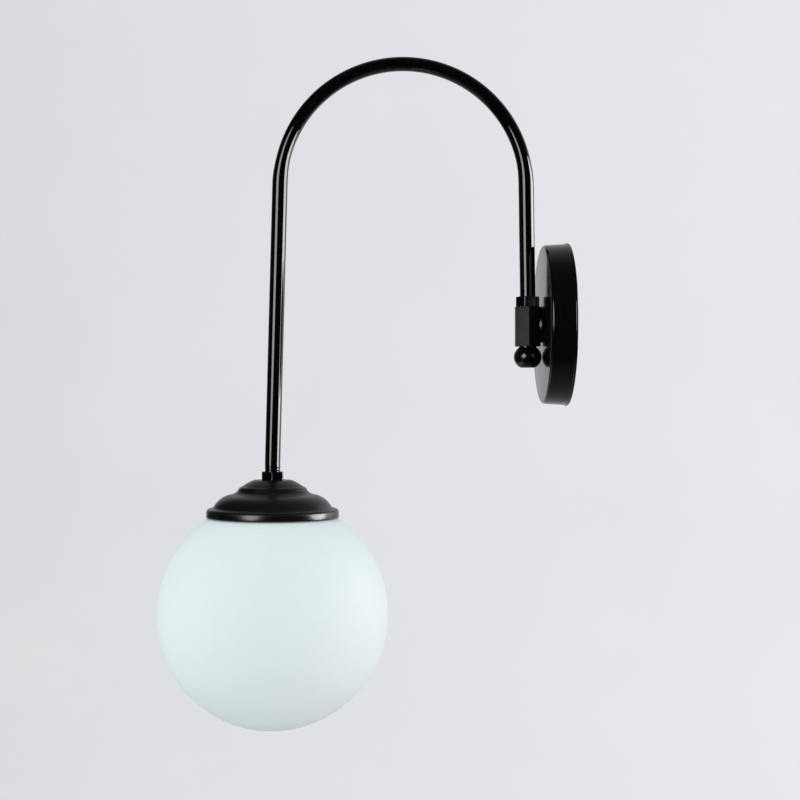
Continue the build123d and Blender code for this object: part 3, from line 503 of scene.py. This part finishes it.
def hexagon_reach(angle, across_flats):
    """How far a hexagon with softened corners reaches at an angle from one of its corners."""
    softness = 22  # the higher, the sharper the corners
    pull = 0.0
    for flat in range(6):
        facing = cos(angle - radians(30 + 60 * flat))
        if facing > 0:
            pull += (facing / (across_flats / 2)) ** softness
    return pull ** (-1 / softness)


def turned_hexagon(bm, centre_y, low, high, across_flats, corner_cut, turned_by):
    """A bored hexagon whose corners are turned off at both ends, with softened edges."""
    corner_r = across_flats / sqrt(3)
    flat_r = corner_r - corner_cut
    cut = corner_cut * tan(radians(30))
    ease, lead = 0.25 * mm, 0.5 * mm
    cut_steps, side_steps, steps_round = 6, 24, 180
    # Lacquer gathers along a facet's edges, which leaves the facet slightly dished
    edge_width, edge_rise = 0.5 * mm, 0.11 * mm
    side = high - low - 2 * cut
    cone = [(corner_cut * i / cut_steps, cut * i / cut_steps) for i in range(cut_steps + 1)]
    outline = [(nut_bore_r + lead, low), (flat_r - ease, low)]
    outline += [(flat_r + out, low + up) for out, up in cone]
    outline += [(corner_r, low + cut + side * i / side_steps) for i in range(1, side_steps)]
    outline += [(corner_r - back, high - cut + up) for back, up in cone]
    outline += [(flat_r - ease, high), (nut_bore_r + lead, high), (nut_bore_r, high - lead)]
    first = point = start_line(bm, nut_bore_r, low + lead, centre_y)
    for r, z in outline:
        point = line_to(bm, point, r, z)
    bm.edges.new((point, first))
    turned(bm, (0, centre_y, 0), upright, steps_round)
    for v in bm.verts:
        out, angle = round_axis(v, centre_y)
        reach = hexagon_reach(angle, across_flats)
        if out.length > reach:
            out *= reach / out.length
            facing = radians(60) * floor(angle / radians(60)) + radians(30)
            flat = Vector((cos(facing), sin(facing)))
            from_corner = corner_r / 2 - abs(out.cross(flat))
            inside = min(from_corner, v.co.z - low - 0.5 * cut, high - 0.5 * cut - v.co.z)
            out -= flat * (edge_rise * eased((inside - edge_width) / edge_width))
            v.co.x, v.co.y = out.x, centre_y + out.y
    spun = Matrix.Rotation(turned_by, 4, "Z")
    there = Matrix.Translation((0, centre_y, 0))
    bmesh.ops.transform(bm, matrix=there @ spun @ there.inverted(), verts=bm.verts[:])


class SCONCE_OT_nuts(bpy.types.Operator):
    """Turn the hexagon nuts and the swivel block, with softened edges"""

    bl_idname = "sconce.nuts"
    bl_label = "Nuts and swivel block"

    def execute(self, context):
        sizes = context.scene.sconce_nuts
        for name, node, slot, material, across, cut, turned_by, y in (
            ("upper_nut", "upper_lock_nut", "black_gloss", "Gloss black lacquer",
             sizes.nut_flats, sizes.nut_cut, sizes.upper_turn, swivel_y),
            ("lower_nut", "lower_lock_nut", "black_gloss", "Gloss black lacquer",
             sizes.nut_flats, sizes.nut_cut, sizes.lower_turn, lamp_y),
            ("swivel_body", "swivel_block", "black_satin", "Dull black lacquer",
             sizes.block_flats, sizes.block_cut, 0.0, swivel_y),
        ):
            low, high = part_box(node)
            bm = bmesh.new()
            turned_hexagon(bm, y, low.z, high.z, across, cut, turned_by)
            mesh = meshed(bm, name, material, sharp=28)
            linked(name, mesh, nodes[node]["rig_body"], slot, node)
        return {"FINISHED"}


class SCONCE_OT_holder_sleeve(bpy.types.Operator):
    """Turn the lampholder's sleeve and press its grip flutes"""

    bl_idname = "sconce.holder_sleeve"
    bl_label = "Fluted sleeve"

    def execute(self, context):
        sizes = context.scene.sconce_holder
        rows, edge_steps, lead_steps, steps_a_flute = 48, 4, 3, 12
        lead, edge, seat_drop = 0.3 * mm, 0.8 * mm, 0.05 * mm
        low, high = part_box("holder_sleeve")
        outer = (high.x - low.x) / 2
        shoulder = high.z - sizes.tongue_rise
        seat = shoulder - seat_drop
        bm = bmesh.new()
        first = start_line(bm, sizes.bore, low.z, lamp_y)
        foot = point = line_to(bm, first, outer, low.z)
        for row in range(1, rows):
            point = line_to(bm, point, outer, low.z + (shoulder - low.z) * row / rows)
        top = point = line_to(bm, point, outer, shoulder)
        for r, z in (
            (sizes.tongue_out, shoulder), (sizes.tongue_out, high.z), (sizes.tongue_in, high.z),
            (sizes.tongue_in, seat), (sizes.bore, seat),
        ):
            point = line_to(bm, point, r, z)
        bm.edges.new((point, first))
        round_corners(bm, [foot], edge, edge_steps)
        round_corners(bm, [first, top], lead, lead_steps)
        turned(bm, (0, lamp_y, 0), upright, steps_a_flute * sizes.flutes)
        start, end = low.z + sizes.plain_band, shoulder - sizes.plain_band
        for v in bm.verts:
            out, angle = round_axis(v, lamp_y)
            if out.length < outer - edge / 2:
                continue
            depth = sizes.flute_depth * eased(min(v.co.z - start, end - v.co.z) / (2 * edge))
            wave = 0.5 + 0.5 * cos(sizes.flutes * angle)
            out *= 1 - depth * wave / outer
            v.co.x, v.co.y = out.x, lamp_y + out.y
        mesh = meshed(bm, "fluted_sleeve", "Black phenolic", sharp=40)
        body = nodes["holder_sleeve"]["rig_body"]
        linked("fluted_sleeve", mesh, body, "holder_plastic", "holder_sleeve")
        return {"FINISHED"}


def pierced(context, bm, diameter, y, reach):
    """The bmesh with a hole drilled right through it along Z."""
    drill = bmesh.new()
    bmesh.ops.create_cone(
        drill, cap_ends=True, segments=40, radius1=diameter / 2, radius2=diameter / 2,
        depth=reach, matrix=Matrix.Translation((0, y, 0)),
    )
    objects = []
    for name, source in (("plate_shell", bm), ("drill", drill)):
        mesh = bpy.data.meshes.new(name)
        source.to_mesh(mesh)
        source.free()
        objects.append(bpy.data.objects.new(name, mesh))
        context.scene.collection.objects.link(objects[-1])
    blank, rod = objects
    cut = blank.modifiers.new("holes", "BOOLEAN")
    cut.object = rod
    cut.operation = "DIFFERENCE"
    cut.solver = "EXACT"
    context.view_layer.update()
    evaluated = blank.evaluated_get(context.evaluated_depsgraph_get())
    drilled = bpy.data.meshes.new_from_object(evaluated)
    for obj in objects:
        bpy.data.objects.remove(obj)
    holed = bmesh.new()
    holed.from_mesh(drilled)
    return holed


class SCONCE_OT_wall_plate(bpy.types.Operator):
    """Spin the wall plate with its rounded front edge and rolled back edge, and pierce it"""

    bl_idname = "sconce.wall_plate"
    bl_label = "Wall plate"

    def execute(self, context):
        sizes = context.scene.sconce_plate
        roll_turn = -118  # degrees that the back edge is rolled
        roll_steps, edge_steps, inner_steps, foot_steps, steps_round = 12, 8, 4, 3, 192
        foot_edge = 0.3 * mm
        back_r, face_y = plate_high.x, plate_low.y
        face_r = back_r - sizes.taper
        sheet, roll = sizes.sheet, sizes.roll
        # The profile is drawn upright, as (radius, place out from the wall), and then laid over
        bm = bmesh.new()
        hole = start_line(bm, nut_bore_r, face_y, 0)
        corner = line_to(bm, hole, face_r, face_y)
        side = line_to(bm, corner, back_r - sizes.roll_step, -2 * roll)
        out = swing_to(bm, side, back_r - roll, -roll, roll_turn, roll_steps)
        foot = line_to(bm, out, back_r - roll, 0)
        foot_in = line_to(bm, foot, back_r - sizes.roll_step - sheet, 0)
        inner = line_to(bm, foot_in, face_r - sheet, face_y + sheet)
        hole_in = line_to(bm, inner, nut_bore_r, face_y + sheet)
        bm.edges.new((hole_in, hole))
        round_corners(bm, [corner], sizes.edge * 1.05, edge_steps)
        round_corners(bm, [inner], sizes.edge * 0.5, inner_steps)
        round_corners(bm, [foot], foot_edge, foot_steps)
        bmesh.ops.transform(bm, matrix=Matrix.Rotation(-pi / 2, 4, "X"), verts=bm.verts[:])
        turned(bm, (0, 0, 0), (0, 1, 0), steps_round)
        holed = pierced(context, bm, sizes.screw_hole, -sizes.screw_hole_out, 3 * back_r)
        mesh = meshed(holed, "spun_plate", "Satin black plate", sharp=32)
        linked("spun_plate", mesh, "base", "black_gloss", "wall_plate")
        return {"FINISHED"}


# ---------------------------------------------------------------- finishes


def feed(tree, socket, value):
    """Gives a socket a plain value, or another socket to follow."""
    if isinstance(value, bpy.types.NodeSocket):
        tree.links.new(value, socket)
    else:
        socket.default_value = value


def noise(tree, vector, scale, detail, roughness=0.5):
    """A noise texture on a vector."""
    node = tree.nodes.new("ShaderNodeTexNoise")
    for label, value in (
        ("Vector", vector), ("Scale", scale), ("Detail", detail), ("Roughness", roughness)
    ):
        feed(tree, node.inputs[label], value)
    return node.outputs["Fac"]


def ranged(tree, value, low, high, to_low, to_high):
    """A value mapped from one range to another, kept inside it."""
    node = tree.nodes.new("ShaderNodeMapRange")
    for label, number in (
        ("Value", value), ("From Min", low), ("From Max", high), ("To Min", to_low),
        ("To Max", to_high),
    ):
        feed(tree, node.inputs[label], number)
    return node.outputs["Result"]


def bumped(tree, height, strength, distance):
    """A bump from a height."""
    node = tree.nodes.new("ShaderNodeBump")
    for label, value in (("Height", height), ("Strength", strength), ("Distance", distance)):
        feed(tree, node.inputs[label], value)
    return node.outputs["Normal"]


def reckoned(tree, operation, *values):
    """What a math node makes of its values."""
    node = tree.nodes.new("ShaderNodeMath")
    node.operation = operation
    for socket, value in zip(node.inputs, values):
        feed(tree, socket, value)
    return node.outputs["Value"]


def coloured(tree, mask, low, high, blend="MIX"):
    """Two colours mixed by a mask. Each is a colour or a socket."""
    node = tree.nodes.new("ShaderNodeMix")
    node.data_type = "RGBA"
    node.blend_type = blend
    feed(tree, node.inputs["Factor"], mask)
    for plug, value in zip([s for s in node.inputs if s.type == "RGBA"], (low, high)):
        feed(tree, plug, value if isinstance(value, bpy.types.NodeSocket) else (*value[:3], 1))
    return [s for s in node.outputs if s.type == "RGBA"][0]


def detail_group(name, relief, scale, height, low, high, mask):
    """An empty node group for a finish. A vector, the scale and height of a relief, and two
    limits of roughness go in. A normal, a roughness and a mask come out."""
    tree = bpy.data.node_groups.new(name, "ShaderNodeTree")
    tree.interface.new_socket(name="Vector", in_out="INPUT", socket_type="NodeSocketVector")
    for label, default in (
        (relief + " Scale", scale), (relief + " Height", height),
        ("Low Roughness", low), ("High Roughness", high),
    ):
        socket = tree.interface.new_socket(
            name=label, in_out="INPUT", socket_type="NodeSocketFloat"
        )
        socket.default_value = default
    for label, kind in (("Normal", "Vector"), ("Roughness", "Float"), (mask, "Float")):
        tree.interface.new_socket(name=label, in_out="OUTPUT", socket_type="NodeSocket" + kind)
    given = tree.nodes.new("NodeGroupInput").outputs
    return tree, given[:5], tree.nodes.new("NodeGroupOutput").inputs


def give(tree, outputs, *values):
    """Links what a group makes to its outputs, in their order."""
    for socket, value in zip(outputs, values):
        tree.links.new(value, socket)


def make_lacquer_group():
    """Sprayed lacquer: a soft ripple, faint wiped marks and specks of dust."""
    tree, given, out = detail_group("Lacquer", "Ripple", 400.0, 0.00001, 0.05, 0.12, "Dust")
    vector, scale, height, low, high = given
    ripple = noise(tree, vector, scale, detail=1.5)
    wiped = noise(tree, vector, 70.0, detail=5.0, roughness=0.62)
    specks = noise(tree, vector, 1500.0, detail=2.0)
    give(
        tree, out, bumped(tree, ripple, 1.0, height), ranged(tree, wiped, 0.35, 0.7, low, high),
        ranged(tree, specks, 0.69, 0.76, 0.0, 1.0),
    )


def make_metal_group():
    """Drawn or plated metal: a grain along the vector's Z, cloudy patches and dull spots."""
    tree, given, out = detail_group("Metal grain", "Grain", 900.0, 0.00002, 0.22, 0.45, "Cloud")
    vector, scale, height, low, high = given
    stretch = tree.nodes.new("ShaderNodeMapping")
    stretch.inputs["Scale"].default_value = (1, 1, 0.06)
    tree.links.new(vector, stretch.inputs["Vector"])
    grain = noise(tree, stretch.outputs["Vector"], scale, detail=2.0)
    cloud = noise(tree, vector, 160.0, detail=5.0, roughness=0.6)
    give(
        tree, out, bumped(tree, grain, 0.5, height), ranged(tree, cloud, 0.3, 0.72, low, high),
        ranged(tree, cloud, 0.35, 0.75, 0.0, 1.0),
    )


def make_moulded_group():
    """Moulded or fired stuff: a fine pebbled skin, with soft changes of shade."""
    tree, given, out = detail_group("Moulded skin", "Skin", 1800.0, 0.00002, 0.35, 0.5, "Shade")
    vector, scale, height, low, high = given
    skin = noise(tree, vector, scale, detail=2.0, roughness=0.55)
    shade = noise(tree, vector, 110.0, detail=4.0, roughness=0.6)
    give(
        tree, out, bumped(tree, skin, 0.6, height), ranged(tree, shade, 0.3, 0.7, low, high),
        ranged(tree, shade, 0.3, 0.7, 0.0, 1.0),
    )


def finish(name, group, relief, rough, shades, shader):
    """A material: its group's detail on Object coordinates, two shades, and plain shader
    values. The group's last output, its mask, mixes the shades."""
    material = bpy.data.materials.new(name)
    material.use_nodes = True
    tree = material.node_tree
    principled = tree.nodes["Principled BSDF"]
    where = tree.nodes.new("ShaderNodeTexCoord")
    placed = tree.nodes.new("ShaderNodeGroup")
    placed.node_tree = bpy.data.node_groups[group]
    tree.links.new(where.outputs["Object"], placed.inputs["Vector"])
    values = {**relief, "Low Roughness": rough[0], "High Roughness": rough[1]}
    for label, number in values.items():
        placed.inputs[label].default_value = number
    normal, roughness, mask = placed.outputs
    tree.links.new(normal, principled.inputs["Normal"])
    tree.links.new(roughness, principled.inputs["Roughness"])
    tree.links.new(coloured(tree, mask, *shades), principled.inputs["Base Color"])
    for label, number in shader.items():
        principled.inputs[label].default_value = number
    material.diffuse_color = (*shades[0][:3], 1)


def shaded(tint, by):
    """A colour's darker shade, and the colour."""
    return tuple(c * by for c in tint), tint


class SCONCE_OT_finishes(bpy.types.Operator):
    """Make the finishes that the pieces wear"""

    bl_idname = "sconce.finishes"
    bl_label = "Finishes"

    def execute(self, context):
        c = context.scene.sconce_colours
        make_lacquer_group()
        make_metal_group()
        make_moulded_group()
        glossy = {"IOR": 1.5}
        # Name, scale and height of the ripple, limits of roughness, grey of the dust, shader
        for name, scale, height, rough, dust, shader in (
            ("Gloss black lacquer", 260.0, 0.000005, (0.03, 0.055), 0.05, glossy),
            ("Satin black lacquer", 900.0, 0.000016, (0.3, 0.38), 0.04, glossy),
            ("Satin black plate", 700.0, 0.000008, (0.12, 0.18), 0.03, glossy),
            ("Soft black lacquer", 500.0, 0.00001, (0.15, 0.21), 0.05, glossy),
            ("Rim black lacquer", 900.0, 0.000014, (0.22, 0.28), 0.04, glossy),
            ("Dull black lacquer", 340.0, 0.00005, (0.4, 0.52), 0.04,
             {**glossy, "Specular IOR Level": 0.25}),
        ):
            relief = {"Ripple Scale": scale, "Ripple Height": height}
            finish(name, "Lacquer", relief, rough, (c.black, (dust, dust, dust)), shader)
        # Name, relief where it isn't the group's own, limits of roughness, shades, shader
        for name, relief, rough, shades, shader in (
            ("Satin opal glass", {"Skin Scale": 1400.0, "Skin Height": 0.000015}, (0.7, 0.78),
             shaded(c.glass, 0.985), {**glossy, "Specular IOR Level": 0.35}),
            ("Bulb glass", {"Skin Scale": 1600.0, "Skin Height": 0.00001}, (0.32, 0.4),
             ((0.84, 0.83, 0.80), (0.88, 0.87, 0.85)), glossy),
            ("Rubber", {"Skin Scale": 2600.0}, (0.6, 0.75),
             ((0.02, 0.02, 0.02), (0.035, 0.035, 0.034)), {}),
            ("Black phenolic", {}, (0.22, 0.34),
             ((0.012, 0.012, 0.012), (0.02, 0.019, 0.018)), {}),
            ("White plastic", {}, (0.3, 0.42), shaded(c.white, 0.93), {}),
            ("Steatite", {"Skin Height": 0.00004}, (0.5, 0.66), shaded(c.steatite, 0.9), {}),
            ("Brown sheath", {"Skin Scale": 1200.0}, (0.28, 0.42), shaded(c.brown, 0.8), {}),
            ("Blue sheath", {"Skin Scale": 1200.0}, (0.28, 0.42), shaded(c.blue, 0.8), {}),
            ("Green sheath", {"Skin Scale": 1200.0}, (0.28, 0.42), shaded(c.green, 0.8), {}),
        ):
            finish(name, "Moulded skin", relief, rough, shades, shader)
        for name, rough, shades, metallic in (
            ("Zinc plate", (0.34, 0.5), shaded(c.zinc, 0.9), 0.5),
            ("Brass", (0.26, 0.42), shaded(c.brass, 0.86), 0.6),
        ):
            finish(name, "Metal grain", {}, rough, shades, {"Metallic": metallic})
        return {"FINISHED"}


def dress(material, *names):
    """Gives CAD nodes that stay as they are their finish."""
    for name in names:
        for slot in nodes[name].material_slots:
            slot.material = bpy.data.materials[material]


class SCONCE_OT_wall_fittings(bpy.types.Operator):
    """Dress the bracket, the nipple and the fixings that hold the wall plate"""

    bl_idname = "sconce.wall_fittings"
    bl_label = "Bracket and fixings"

    def execute(self, context):
        dress("Gloss black lacquer", "spacer_ring")
        dress(
            "Zinc plate", "wall_bracket", "plate_set_screws", "mounting_nipple", "nipple_washer",
            "nipple_nut", "block_screw",
        )
        return {"FINISHED"}


class SCONCE_OT_swivel(bpy.types.Operator):
    """Dress the finial, and the washer and nut under the cover"""

    bl_idname = "sconce.swivel"
    bl_label = "Finial and hidden nuts"

    def execute(self, context):
        dress("Soft black lacquer", "bun_finial")
        dress("Zinc plate", "cover_washer", "cover_nut")
        return {"FINISHED"}


class SCONCE_OT_gallery(bpy.types.Operator):
    """Dress the globe's gallery and its gasket"""

    bl_idname = "sconce.gallery"
    bl_label = "Gallery and gasket"

    def execute(self, context):
        dress("Satin black lacquer", "gallery_ring")
        dress("Rubber", "globe_gasket")
        return {"FINISHED"}


class SCONCE_OT_lampholder(bpy.types.Operator):
    """Dress the lampholder's cap and the parts inside it"""

    bl_idname = "sconce.lampholder"
    bl_label = "Lampholder"

    def execute(self, context):
        dress("Black phenolic", "holder_cap")
        dress("Steatite", "holder_insert")
        dress("Brass", "live_contact", "neutral_contact", "holder_terminal_screws", "screw_shell")
        return {"FINISHED"}


class SCONCE_OT_bulb(bpy.types.Operator):
    """Dress the bulb and its cap"""

    bl_idname = "sconce.bulb"
    bl_label = "Bulb"

    def execute(self, context):
        dress("Brass", "bulb_cap", "bulb_tip")
        dress("Black phenolic", "bulb_insulator")
        dress("White plastic", "bulb_collar")
        dress("Bulb glass", "bulb_glass")
        return {"FINISHED"}


class SCONCE_OT_wiring(bpy.types.Operator):
    """Dress the terminal block, the earth tag and the wires"""

    bl_idname = "sconce.wiring"
    bl_label = "Wiring"

    def execute(self, context):
        dress("White plastic", "terminal_block")
        dress("Brass", "terminal_sleeves", "earth_tag", "earth_screw")
        dress("Zinc plate", "terminal_screws")
        dress("Green sheath", "earth_wire")
        dress("Brown sheath", "live_wire_wall", "live_wire_arm")
        dress("Blue sheath", "neutral_wire_wall", "neutral_wire_arm")
        return {"FINISHED"}


# ---------------------------------------------------------------- studio

# The floor and backdrop, in metres
floor_z, floor_reach = -0.75, 7.0
backdrop_x, backdrop_top, cove_radius, cove_steps = -1.6, 2.4, 0.5, 24
# Where the backdrop's painted light changes, from darker on the left to lighter on the right, along
# Y
painted_light_from, painted_light_to = -0.85, 0.65
# How bright the card and the room show in gloss: axis, from, to, brightness at either end
card_fades = (
    ("X", -1.6, 0.6, 0.78, 0.02), ("Y", -1.25, -0.95, 0.1, 1.0), ("Z", 0.2, 2.4, 1.0, 0.45),
)
room_fades = (
    ("X", -0.95, 0.0, 0.5, 0.06), ("X", 0.0, 0.9, 1.0, 0.2), ("Y", -0.55, -0.3, 0.12, 1.0),
)
shining = 0.9  # how much of the card shines by itself, and doesn't take the object's shadow
camera_y, camera_z, camera_shift = -0.1411, -0.0489, 0.0626


def panel_lamp(name, place, aim, size, strength, shows_in, tint=(1, 1, 1)):
    """A soft panel that faces a place, as bright all over as its strength says. It shows in
    gloss or lights the surfaces."""
    in_gloss = shows_in == "gloss"
    lamp = bpy.data.lights.new(name, "AREA")
    lamp.shape = "ELLIPSE" if in_gloss else "RECTANGLE"
    lamp.size, lamp.size_y = size
    lamp.energy = strength * pi * size[0] * size[1] * (pi / 4 if in_gloss else 1)
    lamp.color = tint
    obj = bpy.data.objects.new(name, lamp)
    bpy.context.scene.collection.objects.link(obj)
    facing = (Vector(place) - Vector(aim)).to_track_quat("Z", "Y").to_matrix().to_4x4()
    obj.matrix_world = Matrix.Translation(place) @ facing
    obj.visible_camera = False
    obj.visible_glossy = in_gloss
    obj.visible_diffuse = not in_gloss


def faded(tree, vector, fades):
    """The product of fades along a vector's axes."""
    apart = tree.nodes.new("ShaderNodeSeparateXYZ")
    tree.links.new(vector, apart.inputs["Vector"])
    product = 1.0
    for axis, start, end, near, far in fades:
        part = ranged(tree, apart.outputs[axis], start, end, near, far)
        product = reckoned(tree, "MULTIPLY", product, part)
    return product


def pale_stage_material(studio):
    """The floor and backdrop: pale card that keeps the object's shadow. Camera, gloss and
    transmission rays see it shine, with its own fades in gloss."""
    material = bpy.data.materials.new("Pale card")
    material.use_nodes = True
    tree = material.node_tree
    card = tree.nodes["Principled BSDF"]
    card.inputs["Roughness"].default_value = 0.9
    card.inputs["Specular IOR Level"].default_value = 0.0
    place = tree.nodes.new("ShaderNodeTexCoord").outputs["Object"]
    # The card's colour runs from backdrop_left to backdrop_right across Y: painted light, darker on
    # the lamp's side and lighter on the wall's side
    across = faded(tree, place, (("Y", painted_light_from, painted_light_to, 0.0, 1.0),))
    tint = coloured(tree, across, studio.backdrop_left, studio.backdrop_right)
    clouds = noise(tree, place, 3.0, detail=6.0, roughness=0.6)
    clouds = ranged(tree, clouds, 0.3, 0.7, 0.0, 1.0)
    cloudy = coloured(tree, clouds, (0.97, 0.97, 0.975), (1, 1, 1))
    shown = coloured(tree, 1.0, tint, cloudy, "MULTIPLY")
    tree.links.new(shown, card.inputs["Base Color"])
    rays = tree.nodes.new("ShaderNodeLightPath").outputs
    in_gloss = rays["Is Glossy Ray"]
    plain = tree.nodes.new("ShaderNodeEmission")
    tree.links.new(shown, plain.inputs["Color"])
    elsewhere = reckoned(tree, "SUBTRACT", 1.0, in_gloss)
    fades = faded(tree, place, card_fades)
    strength = reckoned(tree, "MULTIPLY_ADD", in_gloss, fades, elsewhere)
    tree.links.new(strength, plain.inputs["Strength"])
    seen = reckoned(tree, "MAXIMUM", rays["Is Camera Ray"], rays["Is Transmission Ray"])
    part = reckoned(tree, "MAXIMUM", reckoned(tree, "MULTIPLY", seen, shining), in_gloss)
    mixed = tree.nodes.new("ShaderNodeMixShader")
    tree.links.new(part, mixed.inputs["Fac"])
    tree.links.new(card.outputs["BSDF"], mixed.inputs[1])
    tree.links.new(plain.outputs["Emission"], mixed.inputs[2])
    tree.links.new(mixed.outputs["Shader"], tree.nodes["Material Output"].inputs["Surface"])
    return material


def pale_world(studio):
    """Room light: even for surfaces, pale for the camera, and dark towards the front in gloss."""
    world = bpy.data.worlds.new("Room")
    bpy.context.scene.world = world
    world.use_nodes = True
    tree = world.node_tree
    rays = tree.nodes.new("ShaderNodeLightPath").outputs
    place = tree.nodes.new("ShaderNodeTexCoord").outputs["Generated"]
    fades = faded(tree, place, room_fades)
    plain = (studio.fill, studio.fill, studio.fill)
    surface = coloured(tree, rays["Is Glossy Ray"], plain, fades)
    shown = coloured(tree, rays["Is Camera Ray"], surface, studio.backdrop_right)
    tree.links.new(shown, tree.nodes["Background"].inputs["Color"])


class SCONCE_OT_studio(bpy.types.Operator):
    """Make the floor, the backdrop, the soft lamps and the camera"""

    bl_idname = "sconce.studio"
    bl_label = "Studio"

    def execute(self, context):
        studio = context.scene.sconce_studio
        pale_world(studio)

        bm = bmesh.new()
        near = bm.verts.new((floor_reach, -floor_reach, floor_z))
        foot = line_to(bm, near, backdrop_x, floor_z)
        line_to(bm, foot, backdrop_x, backdrop_top)
        round_corners(bm, [foot], cove_radius, cove_steps)
        sheet = bmesh.ops.extrude_edge_only(bm, edges=bm.edges[:])["geom"]
        bmesh.ops.translate(bm, vec=(0, 2 * floor_reach, 0), verts=new_verts(sheet))
        mesh = bpy.data.meshes.new("floor_and_backdrop")
        bm.to_mesh(mesh)
        bm.free()
        mesh.shade_smooth()
        mesh.materials.append(pale_stage_material(studio))
        stage = bpy.data.objects.new("floor_and_backdrop", mesh)
        context.scene.collection.objects.link(stage)

        middle, globe = (0, lamp_y / 2, 0), (0, lamp_y, lamp_y)
        front, side, beside = (1.42, -1.19, 0.3), (0.03, 0.85, 0.08), (-0.5, 0.7, 0.08)
        low, wall = (0.15, -0.7, -0.72), (0.1, 0.3, -0.72)
        warm, rosy = (1.0, 1.0, 0.94), (1.2, 1.0, 0.98)
        for name, place, aim, size, strength in (
            ("front_lamp", front, middle, (1.0, 1.2), studio.front_lamp),
            ("side_lamp", side, middle, (0.68, 0.7), studio.side_lamp),
            ("side_glow", beside, middle, (0.45, 0.7), studio.side_glow),
        ):
            panel_lamp(name, place, aim, size, strength, "gloss")
        for name, place, aim, size, strength, tint in (
            ("low_key", low, globe, (1.2, 1.2), studio.low_key, warm),
            ("wall_key", wall, globe, (1.0, 1.0), studio.wall_key, rosy),
            ("side_key", side, middle, (1.0, 1.3), studio.side_key, rosy),
        ):
            panel_lamp(name, place, aim, size, strength, "surfaces", tint)

        camera = bpy.data.cameras.new("camera")
        camera.sensor_width = 36.0
        camera.lens = studio.lens
        camera.shift_x = camera_shift
        camera.clip_start, camera.clip_end = 0.01, 50.0
        seat = bpy.data.objects.new("camera", camera)
        context.scene.collection.objects.link(seat)
        # It looks along -X, with +Y to the right
        seat.matrix_world = Matrix(
            (
                (0, 0, 1, studio.camera_x),
                (1, 0, 0, camera_y),
                (0, 1, 0, camera_z),
                (0, 0, 0, 1),
            )
        )
        context.scene.camera = seat
        context.scene.view_settings.view_transform = "Standard"
        return {"FINISHED"}


class SCONCE_PT_panel(bpy.types.Panel):
    """The sconce's pieces and sizes, in the 3D view's sidebar"""

    bl_idname = "SCONCE_PT_panel"
    bl_label = "Globe wall sconce"
    bl_space_type = "VIEW_3D"
    bl_region_type = "UI"
    bl_category = "Sconce"

    def draw(self, context):
        for name, title, group in settings_groups:
            box = self.layout.box()
            box.label(text=title)
            for size in group.__annotations__:
                box.prop(getattr(context.scene, name), size)
        for operator in operators:
            self.layout.operator(operator.bl_idname)


operators = (
    SCONCE_OT_finishes,
    SCONCE_OT_arm_tube,
    SCONCE_OT_shade_cover,
    SCONCE_OT_glass_globe,
    SCONCE_OT_nuts,
    SCONCE_OT_wall_plate,
    SCONCE_OT_holder_sleeve,
    SCONCE_OT_wall_fittings,
    SCONCE_OT_swivel,
    SCONCE_OT_gallery,
    SCONCE_OT_lampholder,
    SCONCE_OT_bulb,
    SCONCE_OT_wiring,
    SCONCE_OT_studio,
)
settings_groups = (
    ("sconce_tube", "Tube", SconceTube),
    ("sconce_cover", "Cover", SconceCover),
    ("sconce_nuts", "Nuts and block", SconceNuts),
    ("sconce_plate", "Wall plate", SconcePlate),
    ("sconce_globe", "Globe", SconceGlobe),
    ("sconce_holder", "Lampholder", SconceHolder),
    ("sconce_colours", "Colours", SconceColours),
    ("sconce_studio", "Studio", SconceStudio),
)


def register():
    """Adds the settings, the operators and the panel."""
    for name, _, group in settings_groups:
        bpy.utils.register_class(group)
        setattr(bpy.types.Scene, name, bpy.props.PointerProperty(type=group))
    for operator in operators:
        bpy.utils.register_class(operator)
    bpy.utils.register_class(SCONCE_PT_panel)


def unregister():
    """Takes them out again, last first."""
    bpy.utils.unregister_class(SCONCE_PT_panel)
    for operator in reversed(operators):
        bpy.utils.unregister_class(operator)
    for name, _, group in reversed(settings_groups):
        delattr(bpy.types.Scene, name)
        bpy.utils.unregister_class(group)


def main():
    """Builds the dressed lamp and its studio."""
    register()
    bpy.ops.sconce.finishes()
    bpy.ops.sconce.arm_tube()
    bpy.ops.sconce.shade_cover()
    bpy.ops.sconce.glass_globe()
    bpy.ops.sconce.nuts()
    bpy.ops.sconce.wall_plate()
    bpy.ops.sconce.holder_sleeve()
    bpy.ops.sconce.wall_fittings()
    bpy.ops.sconce.swivel()
    bpy.ops.sconce.gallery()
    bpy.ops.sconce.lampholder()
    bpy.ops.sconce.bulb()
    bpy.ops.sconce.wiring()
    bpy.ops.sconce.studio()


if __name__ == "__main__":
    main()
